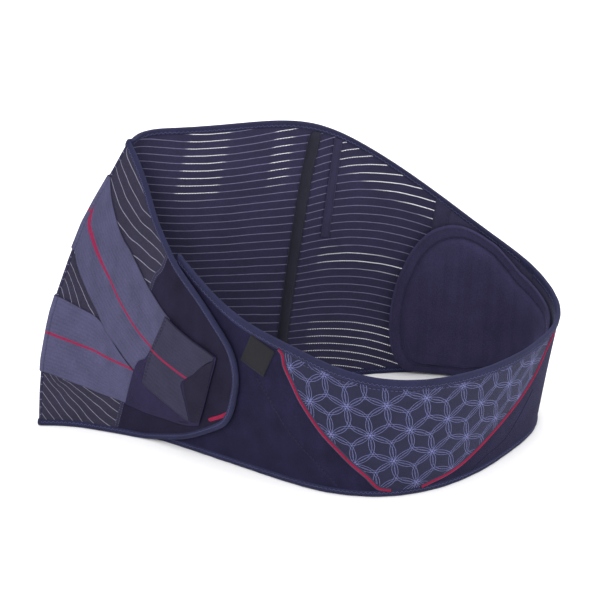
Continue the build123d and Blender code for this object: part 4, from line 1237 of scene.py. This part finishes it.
# the tab: soft laminate with rounded outer corners
B = cut(LO_LO, 0.318, 0.7250, 40)
T = cut(UP_HI, 0.500, 0.8025, 40)
Lf = smooth_curve(TAB_SEAM, 40)
Rt = smooth_curve(TAB_END, 60)
Lf[0], Lf[-1], Rt[0], Rt[-1] = B[0], T[0], B[-1], T[-1]
SS, TT = coons(B, T, Lf, Rt, 90, 60)
P = flap.P(SS, TT, 3.6)
u, v, w = along(P)
lift = 0.5 * np.clip((u / u.max() - 0.75) / 0.25, 0, 1) ** 2
o = grid_shell("tensor_tab_body", flap.P, SS, TT, 1.9, 3.0, [M["tab"]], {"fab": np.stack([u, v, w], -1)}, ease=lambda a, b: lift)
on(o, "tensor_left", "tensor_tab", slot="tab_laminate")


def flap_line(path, n, off):
    return path_points(flap_fn, path, n, off)


# edge and seam stitching of the tab
def inset(SS, TT, du, dv, off, side):
    """Points on the flap surface over the grid, at offset off."""
    P = flap.P(SS, TT, off)
    return P


runs = []
uf, vf = even(90), even(60)


def grid_line(a0, b0, a1, b1, off, n=240):
    """Points over the tab grid, straight in its own 0..1 coordinates."""
    a, b = np.linspace(a0, a1, n), np.linspace(b0, b1, n)
    ia, ib = np.interp(a, uf, np.arange(len(uf))), np.interp(b, vf, np.arange(len(vf)))
    i0, j0 = np.clip(ia.astype(int), 0, len(uf) - 2), np.clip(ib.astype(int), 0, len(vf) - 2)
    fa, fb = ia - i0, ib - j0
    def g(A):
        return (A[i0, j0] * (1 - fa) * (1 - fb) + A[i0 + 1, j0] * fa * (1 - fb) + A[i0, j0 + 1] * (1 - fa) * fb + A[i0 + 1, j0 + 1] * fa * fb)
    s, t, lf = g(SS), g(TT), g(lift)
    p = flap.P(s, t, off + lf)
    up = flap.P(s, t, off + lf + 1) - p
    up /= np.linalg.norm(up, axis=1)[:, None]
    d = np.gradient(p, axis=0)
    sd = np.cross(up, d)
    sd /= np.linalg.norm(sd, axis=1)[:, None]
    return p, sd, up


for a0, b0, a1, b1 in ((0.035, 0.02, 0.035, 0.4), (0.075, 0.02, 0.075, 0.4), (0.03, 0.035, 0.97, 0.035), (0.03, 0.965, 0.97, 0.965), (0.965, 0.03, 0.965, 0.97)):
    runs.append(grid_line(a0, b0, a1, b1, 3.0))
on(stitches("tab_stitches", runs, [M["thread_dark"]], r=0.2, lift=0.02), "tensor_left")

# a thin raised strip along a path: the plain bar on the tab and the mark on the tongue
def thin_strip(name, path, half, o0, o1, sf_fn, mats, n=80, round_ends=True):
    q, p, d, sd, up, L = path_points(sf_fn, path, n, o0)
    x = np.linspace(0, L, n)
    e = np.minimum(x, L - x)
    k = np.sqrt(np.clip(1 - (1 - np.clip(e / half, 0, 1)) ** 2, 0.02, 1)) if round_ends else np.ones(n)
    h = o1 - o0
    pr = [(-half, 0), (-half, h * 0.6), (-half + 0.25, h), (half - 0.25, h), (half, h * 0.6), (half, 0)]
    V = p[:, None, :] + np.array(pr)[None, :, 0:1] * sd[:, None, :] * k[:, None, None] + np.array(pr)[None, :, 1:2] * up[:, None, :]
    kk = len(pr)
    F = []
    for i in range(n - 1):
        for j in range(kk):
            a, b = i * kk + j, i * kk + (j + 1) % kk
            F.append((a, b, b + kk, a + kk))
    F += [tuple(range(kk))[::-1], tuple((n - 1) * kk + j for j in range(kk))]
    o = add_mesh(name, V.reshape(-1, 3), F, mats, None, {"fab": V.reshape(-1, 3)})
    orient(o)
    return o


# upper layer of the tab: the strap's cloth carried on, with a notched end
M["tab_light"] = strap_cloth("tab_upper_cloth", (37, 35, 57), True)
M["tab_dark"] = pile("tab_end_cloth", (28, 26, 42), 0.12, nap=1.6, bump=0.2, amount=0.10)
B = cut(UP_LO, 0.3946, 0.6683, 40)
T = cut(UP_HI, 0.4918, 0.796, 40)
Lf = smooth_curve([(0.3946, 0.288), (0.4030, 0.36), (0.4174, 0.448), (0.455, 0.565), (0.4918, 0.692)], 30)
Rt = np.array([(0.6683, 0.132), (0.652, 0.20), (0.6355, 0.263), (0.618, 0.325), (0.606, 0.365), (0.608, 0.385), (0.640, 0.43), (0.6762, 0.479), (0.735, 0.595), (0.785, 0.69), (0.796, 0.733)])
Lf[0], Lf[-1], Rt[0], Rt[-1] = B[0], T[0], B[-1], T[-1]
S2, T2 = coons(B, T, Lf, Rt, 70, 50)
u, v, w = along(flap.P(S2, T2, 3.3))
lift_at = lambda s: 0.5 * np.clip((s - 0.66) / 0.14, 0, 1) ** 2
o = grid_shell("tab_upper_layer", flap.P, S2, T2, 2.95, 3.7, [M["tab_light"]],
               {"fab": np.stack([u, v, w], -1), "mark": mark([(a, b) if a < 0.6 else (a, b) for a, b in UP_LINE], S2, T2)}, ease=lambda a, b: lift_at(a))
on(o, "tensor_left", slot="elastic_strap")
# end patch of the tab
SSg, TTg = coons([(0.676, 0.128), (0.722, 0.118)], [(0.617, 0.385), (0.792, 0.690)],
                 [(0.676, 0.128), (0.662, 0.19), (0.646, 0.255), (0.629, 0.32), (0.617, 0.385)],
                 [(0.722, 0.118), (0.734, 0.18), (0.747, 0.268), (0.769, 0.459), (0.789, 0.645), (0.792, 0.690)], 40, 40)
o = grid_shell("tab_end_patch", flap.P, SSg, TTg, 2.9, 3.4, [M["tab_dark"]], {"fab": fab_flap}, ease=lambda a, b: lift_at(a))
on(o, "tensor_left", "tab_grip_patches", slot="grip_patch")
runs = []
for path, off in ((smooth_curve([(0.401, 0.300), (0.4095, 0.36), (0.424, 0.448), (0.4615, 0.565), (0.497, 0.680)], 60), 3.7),
                  (smooth_curve([(0.408, 0.300), (0.4165, 0.36), (0.431, 0.448), (0.4685, 0.565), (0.504, 0.680)], 60), 3.7)):
    q, p, d, sd, up, L = path_points(lambda a, b, o: flap.P(a, b, o + lift_at(np.asarray(a))), path, 200, off)
    runs.append((p, sd, up))
on(stitches("tab_seam_stitches", runs, [M["thread_dark"]], r=0.2, lift=0.04), "tensor_left")
M["mark"] = cloth("mark_bar_cloth", (122, 8, 50), 0.9, 0.9, 0.1, 0.15, (255, 130, 160))
on(thin_strip("tab_mark_strip", [(0.605, 0.128), (0.660, 0.118)], 0.5, 3.0, 3.2, flap_fn, [M["tab_dark"]]), "tensor_left", "tab_mark_bar", slot="crimson_piping")
on(thin_strip("tongue_mark_strip", [(0.7748, 0.124), (0.9371, 0.166)], 1.5, 0.6, 1.1, flap_fn, [M["mark"]]), "flap", slot="crimson_piping")

# hook tapes
def hook_patch(name, sf, s0, s1, t0, t1, o0, o1, body, node):
    S = s0 + (s1 - s0) * even(24)
    T = t0 + (t1 - t0) * even(24)
    SS, TT = np.meshgrid(S, T, indexing="ij")
    # rounded corners
    a, b = 2 * (SS - s0) / (s1 - s0) - 1, 2 * (TT - t0) / (t1 - t0) - 1
    k = 0.055
    SS = SS - a * (s1 - s0) / 2 * k * np.abs(b) ** 8
    TT = TT - b * (t1 - t0) / 2 * k * np.abs(a) ** 8
    o = grid_shell(name, sf.P, SS, TT, o0, o1, [M["hook"]], {"fab": fab_wall if sf is wall else fab_flap})
    return on(o, body, node, slot="hook_tape")


hook_patch("flap_hook_tape", flap, 0.640, 0.900, 0.20, 0.74, -2.0, -0.8, "flap", "flap_hook_patch")
hook_patch("tab_hook_tape", flap, 0.555, 0.715, 0.265, 0.600, 0.7, 1.8, "tensor_left", "tab_hook_patch")
hook_patch("right_hook_tape", wall, 0.3740, 0.406, 0.39, 0.71, 4.2, 5.2, "tensor_right", "right_tab_hook_patch")

# seam tape between mesh and tongue on the flap
q, p, d, sd, up, L = path_points(flap_fn, smooth_curve([(a, min(max(b, 0.03), 0.97)) for a, b in FLAP_SEAM], 120), 200, 0.45)
on(sweep("flap_seam_tape", p, sd, up, [(-2.0, -0.4), (-1.8, 0.1), (-0.9, 0.3), (0.9, 0.3), (1.8, 0.1), (2.0, -0.4)], [M["tape_low"]]), "flap", slot="edge_binding")
on(stitches("flap_seam_stitches", [(p + sd * x + up * 0.22, sd, up) for x in (-1.1, 1.1)], [M["thread"]], r=0.2, lift=0.0, length=1.6, gap=0.7), "flap")

# -------------------------------------------------------------- right tensor
for nm, lo, hi in (("upper", [(0.292, 0.577), (0.372, 0.595)], [(0.292, 0.857), (0.346, 0.823), (0.372, 0.805)]),
                   ("lower", [(0.292, 0.257), (0.372, 0.285)], [(0.292, 0.507), (0.372, 0.545)])):
    strap_piece("right_%s_elastic" % nm, wall.P, lo, hi, [lo[0], hi[0]], [lo[-1], hi[-1]], 60, 26, 4.0, 5.2, [M["strap"]],
                "tensor_right", ("right_%s_strap" % nm,), "elastic_strap")
B = [(0.362, 0.290), (0.385, 0.300), (0.405, 0.330), (0.414, 0.38)]
T = [(0.362, 0.805), (0.385, 0.795), (0.405, 0.765), (0.414, 0.72)]
SS, TT = coons(B, T, [B[0], T[0]], [(0.414, 0.38), (0.4175, 0.46), (0.4185, 0.55), (0.4175, 0.64), (0.414, 0.72)], 60, 44)
u, v, w = along(wall.P(SS, TT, 6.0))
o = grid_shell("right_tab_body", wall.P, SS, TT, 5.4, 6.8, [M["tab"]], {"fab": np.stack([u, v, w], -1)})
on(o, "tensor_right", "right_tensor_tab", slot="tab_laminate")
runs = []
for path in ([(0.3655, 0.27), (0.3655, 0.75)], [(0.3685, 0.27), (0.3685, 0.75)]):
    q, p, d, sd, up, L = path_points(wall_fn, path, 120, 6.8)
    runs.append((p, sd, up))
on(stitches("right_tab_stitches", runs, [M["thread_dark"]], r=0.2, lift=0.04), "tensor_right")

# --------------------------------------------------- piping, label and seams
for nm, path in (("left", PIPE_L), ("right", PIPE_R)):
    pts = [(a, min(max(b, 0.055), 0.945)) for a, b in path]
    pts = sorted(set(pts), key=lambda p: p[1])
    q, p, d, sd, up, L = path_points(wall_fn, pts, 260, 1.25)
    on(sweep("piping_%s_cord" % nm, p, sd, up, circle(0.95, 12), [M["piping"]]), "front", "piping_%s" % nm, slot="crimson_piping")
    q, p, d, sd, up, L = path_points(wall_fn, pts, 200, 1.0)
    on(sweep("piping_%s_lip" % nm, p, sd, up, [(-2.2, -0.2), (-2.0, 0.12), (-0.8, 0.3), (0.8, 0.3), (2.0, 0.12), (2.2, -0.2)], [M["casing_out"]]), "front")

q, p, d, sd, up, L = path_points(wall_fn, [(0.8860, 0.933), (0.8955, 0.730)], 40, 1.0)
k = even(14) * 2 - 1
Vg = p[:, None, :] + sd[:, None, :] * (k[None, :, None] * 11.0)
n_, m__ = len(p), len(k)
warp = 0.35 * np.sin(np.linspace(0, 3.1, n_))[:, None] * (1 - k[None, :] ** 2)
edge = np.ones((n_, m__))
edge[0] = edge[-1] = edge[:, 0].fill(0.4) or 0.4
edge[:, -1] = 0.4
Po = Vg + up[:, None, :] * (0.45 + 0.25 * edge + warp)[..., None]
Pi = Vg + up[:, None, :] * (0.45 - 0.25 * edge + warp)[..., None]
F, I = box_topology(n_, m__)
uu = np.stack([np.repeat((k * 11.0)[None, :], n_, 0), np.repeat(np.linspace(0, L, n_)[:, None], m__, 1), np.zeros((n_, m__))], -1).reshape(-1, 3)
o = add_mesh("label_patch", np.concatenate([Po.reshape(-1, 3), Pi.reshape(-1, 3)]), F, [M["label"]], None, {"fab": np.concatenate([uu, uu])})
orient(o)
on(o, "front", "blank_label", slot="label_cloth")
runs = []
for x in (-9.9, 9.9):
    runs.append((p + sd * x + up * 0.72, sd, up))
for i in (2, n_ - 3):
    ln = np.array([p[i] + sd[i] * a + up[i] * (0.74) for a in np.linspace(-9.9, 9.9, 40)])
    runs.append((ln, np.gradient(ln, axis=0) * 0 + (p[min(i + 1, n_ - 1)] - p[i]) / np.linalg.norm(p[min(i + 1, n_ - 1)] - p[i]), np.repeat(up[i][None], 40, 0)))
on(stitches("label_stitches", runs, [M["thread_dark"]], r=0.18, lift=0.15, length=1.6, gap=0.7), "front")

# stitched seams over the front, beside the piping and under the bindings
SEAM_L = [(.8915, .93), (.8899, .686), (.8755, .572), (.8621, .455), (.8455, .344), (.8211, .217), (.7989, .057)]
SEAM_R = [(.5850, .50), (.5967, .37), (.62, .179), (.6517, .11), (.665, .049)]
runs, groove = [], []
for path in (SEAM_L[1:], SEAM_R):
    q, p, d, sd, up, L = path_points(wall_fn, path, 300, 1.02)
    groove.append((p, sd, up))
    runs.append((p, sd, up))
on(stitches("front_seam_stitches", runs, [M["thread_dark"]], r=0.3, lift=0.0), "front")
for i, (p, sd, up) in enumerate(groove):
    on(sweep("front_seam_fold_%d" % (i + 1), p[::2], sd[::2], up[::2], [(-1.6, -0.3), (-1.0, 0.18), (-0.25, 0.26), (0.3, 0.0), (1.3, -0.3)], [M["velour"]]), "front")
runs = []
for s0, s1, b in ((J0, J1, "x"),):
    for s in (S_JOIN - 0.0035, S_JOIN + 0.0035):
        q, p, d, sd, up, L = path_points(wall_fn, [(s, 0.04), (s, 0.96)], 200, 1.02)
        runs.append((p, sd, up))
seam_blend(stitches("side_seam_stitches", runs, [M["thread_dark"]], r=0.25, lift=0.0))
runs = []
for t0 in (0.915,):
    q, p, d, sd, up, L = path_points(wall_fn, [(0.575, t0), (0.66, t0), (0.75, t0), (0.85, t0)], 400, 1.02)
    runs.append((p, sd, up))
on(stitches("print_edge_stitches", runs, [M["thread"]], r=0.22, lift=0.02), "front")

# ----------------------------------------------------------------------- pad
PAD_C, PAD_A, PAD_B = 0.4660, 0.1437, 0.1330
PAD_UP = [(0.3223, 0.395), (0.3251, 0.495), (0.3291, 0.561), (0.3359, 0.655), (0.3444, 0.735), (0.3532, 0.800), (0.3651, 0.865), (0.3770, 0.915), (0.3895, 0.950), (0.4020, 0.968), (0.4200, 0.977), (0.4660, 0.985)]
PAD_DN = [(0.4660, 0.015), (0.3750, 0.015), (0.3600, 0.020), (0.3464, 0.042), (0.3378, 0.082), (0.3316, 0.132), (0.3248, 0.226), (0.3223, 0.345)]
_o = smooth_curve(PAD_UP + [(2 * PAD_C - a, b) for a, b in PAD_UP[::-1]][1:] + [(2 * PAD_C - a, b) for a, b in PAD_DN[::-1]] + PAD_DN[1:] + [PAD_UP[0]], 900)
_x = (_o[:, 0] - PAD_C) / PAD_A
_y = (_o[:, 1] - 0.5) / 0.5
_k = np.argsort(np.arctan2(_y, _x))
PAD_TH, PAD_R = np.arctan2(_y, _x)[_k], np.hypot(_x, _y)[_k]


def pad_point(rho, th, off):
    """Inside the oval: rho 0..1 from centre to edge, th the angle."""
    r = np.interp(th, PAD_TH, PAD_R, period=2 * np.pi) * rho
    x, y = np.cos(th) * r, np.sin(th) * r
    q = np.where(x < 0, PAD_C + PAD_A * x, PAD_C + PAD_B * x)
    k = np.clip((q - 0.425) / 0.035, 0, 1)
    return wall.P(q, 0.5 + 0.5 * y * (1 - 0.125 * k), off)


def pad_mesh(name, shrink, mats, rings=44, segs=220, swell=1.0):
    """Closed pad: flat sewn border, a groove, and a soft raised middle."""
    th = np.linspace(0, 2 * np.pi, segs, endpoint=False)
    rho = np.r_[np.linspace(0, 0.80, rings - 20)[1:], np.linspace(0.80, 1.0, 21)[1:]]
    rim = pad_point(np.ones(segs), th, -4.0)
    cen = pad_point(np.zeros(segs), th, -4.0)
    reach = np.linalg.norm(rim - cen, axis=1)
    V = [pad_point(np.zeros(1), np.zeros(1), np.full(1, -4.3))[0], pad_point(np.zeros(1), np.zeros(1), np.full(1, -4.3 - 6.6 * swell))[0]]
    for side in (0, 1):
        for r_ in rho:
            d = (1 - r_) * reach * 1.0            # mm in from the rim, along the spoke
            if side == 0:
                off = -4.3 + 0 * d
                edge = np.clip(d / 1.2, 0, 1)
                off = -5.4 + (1.1) * np.sqrt(edge)
            else:
                edge = np.sqrt(np.clip(d / 1.2, 0, 1))
                flange = -5.4 - 1.4 * edge
                rise = np.clip((d - 11.5) / 20.0, 0, 1)
                full = -6.4 - (4.5 * swell) * np.sqrt(1 - (1 - rise) ** 2)
                dip = 1.1 * np.exp(-((d - 10.8) / 1.1) ** 2)
                off = np.where(d < 11.5, flange, full) + dip
            V += list(pad_point(np.full(segs, r_) * shrink, th, off))
    V = np.array(V)
    F = []
    R_ = len(rho)
    base = lambda side, i: 2 + side * R_ * segs + i * segs
    for side in (0, 1):
        for k in range(segs):
            k2 = (k + 1) % segs
            F.append((side, base(side, 0) + k, base(side, 0) + k2))
            for i in range(R_ - 1):
                F.append((base(side, i) + k, base(side, i + 1) + k, base(side, i + 1) + k2, base(side, i) + k2))
    for k in range(segs):
        k2 = (k + 1) % segs
        F.append((base(0, R_ - 1) + k, base(1, R_ - 1) + k, base(1, R_ - 1) + k2, base(0, R_ - 1) + k2))
    o = add_mesh(name, V, F, mats, None, {"fab": V})
    orient(o)
    return o


pad = pad_mesh("lumbar_pad", 0.997, [M["pad"]])
on(pad, "pad", "pad_cover", slot="pad_knit")
runs = []
th = np.linspace(0, 2 * np.pi, 900)
rim = pad_point(np.ones(900), th, -5.0)
cen = pad_point(np.zeros(900), th, -5.0)
reach = np.linalg.norm(rim - cen, axis=1)
for din, off in ((9.2, -6.85), (2.6, -6.85)):
    p = pad_point(1 - din / reach, th, off)
    nn = pad_point(1 - din / reach, th, off - 1.0) - p
    nn /= np.linalg.norm(nn, axis=1)[:, None]
    d = np.gradient(p, axis=0)
    sd = np.cross(nn, d)
    sd /= np.linalg.norm(sd, axis=1)[:, None]
    runs.append((p, sd, nn))
o = stitches("pad_rim_stitches", runs, [M["thread_dark"]], r=0.24, lift=0.02)
on(o, "pad")
hook_patch("pad_hook_tape", wall, 0.400, 0.450, 0.30, 0.70, -3.5, -2.4, "pad", "pad_hook_patch")

# foam inside the pad
segs_ = 120
th = np.linspace(0, 2 * np.pi, segs_, endpoint=False)
V, F = [], []
rr_ = [0.02, 0.3, 0.6, 0.85, 0.95, 1.0]
fr_ = 1 - 27.0 / np.linalg.norm(pad_point(np.ones(segs_), th, -5.0) - pad_point(np.zeros(segs_), th, -5.0), axis=1)
for side, off in ((0, -5.6), (1, -8.4)):
    for i, r_ in enumerate(rr_):
        o_ = off if i < len(rr_) - 2 else (off * 0.75 + (-6.5) * 0.25 if i == len(rr_) - 2 else -6.4 - 0.2 * side)
        V += list(pad_point(r_ * fr_, th, o_))
V = np.array(V)
R_ = len(rr_)
for side in (0, 1):
    b0 = side * R_ * segs_
    F.append(tuple(b0 + k for k in range(segs_)))
    for i in range(R_ - 1):
        for k in range(segs_):
            k2 = (k + 1) % segs_
            F.append((b0 + i * segs_ + k, b0 + (i + 1) * segs_ + k, b0 + (i + 1) * segs_ + k2, b0 + i * segs_ + k2))
for k in range(segs_):
    k2 = (k + 1) % segs_
    F.append(((R_ - 1) * segs_ + k, (2 * R_ - 1) * segs_ + k, (2 * R_ - 1) * segs_ + k2, (R_ - 1) * segs_ + k2))
o = add_mesh("pad_foam", V, F, [M["foam"]], None, {"fab": V})
orient(o)
on(o, "pad", "pad_core", slot="foam")

# ------------------------------------------------------------ floor and light
floor_me = bpy.data.meshes.new("floor")
floor_me.from_pydata([(-30, -30, -0.0004), (30, -30, -0.0004), (30, 30, -0.0004), (-30, 30, -0.0004)], [], [(0, 1, 2, 3)])
floor = bpy.data.objects.new("floor", floor_me)
bpy.context.scene.collection.objects.link(floor)
m_ = Mat("floor_white")
floor_me.materials.append(m_.finish((0.93, 0.93, 0.94, 1), 0.9, spec=0.1))
world = bpy.data.worlds.new("world")
bpy.context.scene.world = world
world.use_nodes = True
world.node_tree.nodes["Background"].inputs[0].default_value = (1, 1, 1, 1)
world.node_tree.nodes["Background"].inputs[1].default_value = 1.05


def area(name, loc, size, power, look=(0.0, 0.06, 0.1), col=(1, 1, 1)):
    L = bpy.data.lights.new(name, "AREA")
    L.shape = "DISK"
    L.size = size
    L.energy = power
    L.color = col
    o = bpy.data.objects.new(name, L)
    bpy.context.scene.collection.objects.link(o)
    o.location = loc
    d = Vector(look) - Vector(loc)
    o.rotation_euler = d.to_track_quat("-Z", "Y").to_euler()
    return o


area("key", (-1.1, -1.2, 1.5), 1.0, 22)
area("fill", (1.4, -1.0, 1.2), 1.4, 12)
area("top", (0.1, 0.3, 1.9), 1.6, 14)
area("rim", (0.2, 1.5, 1.1), 1.0, 8)
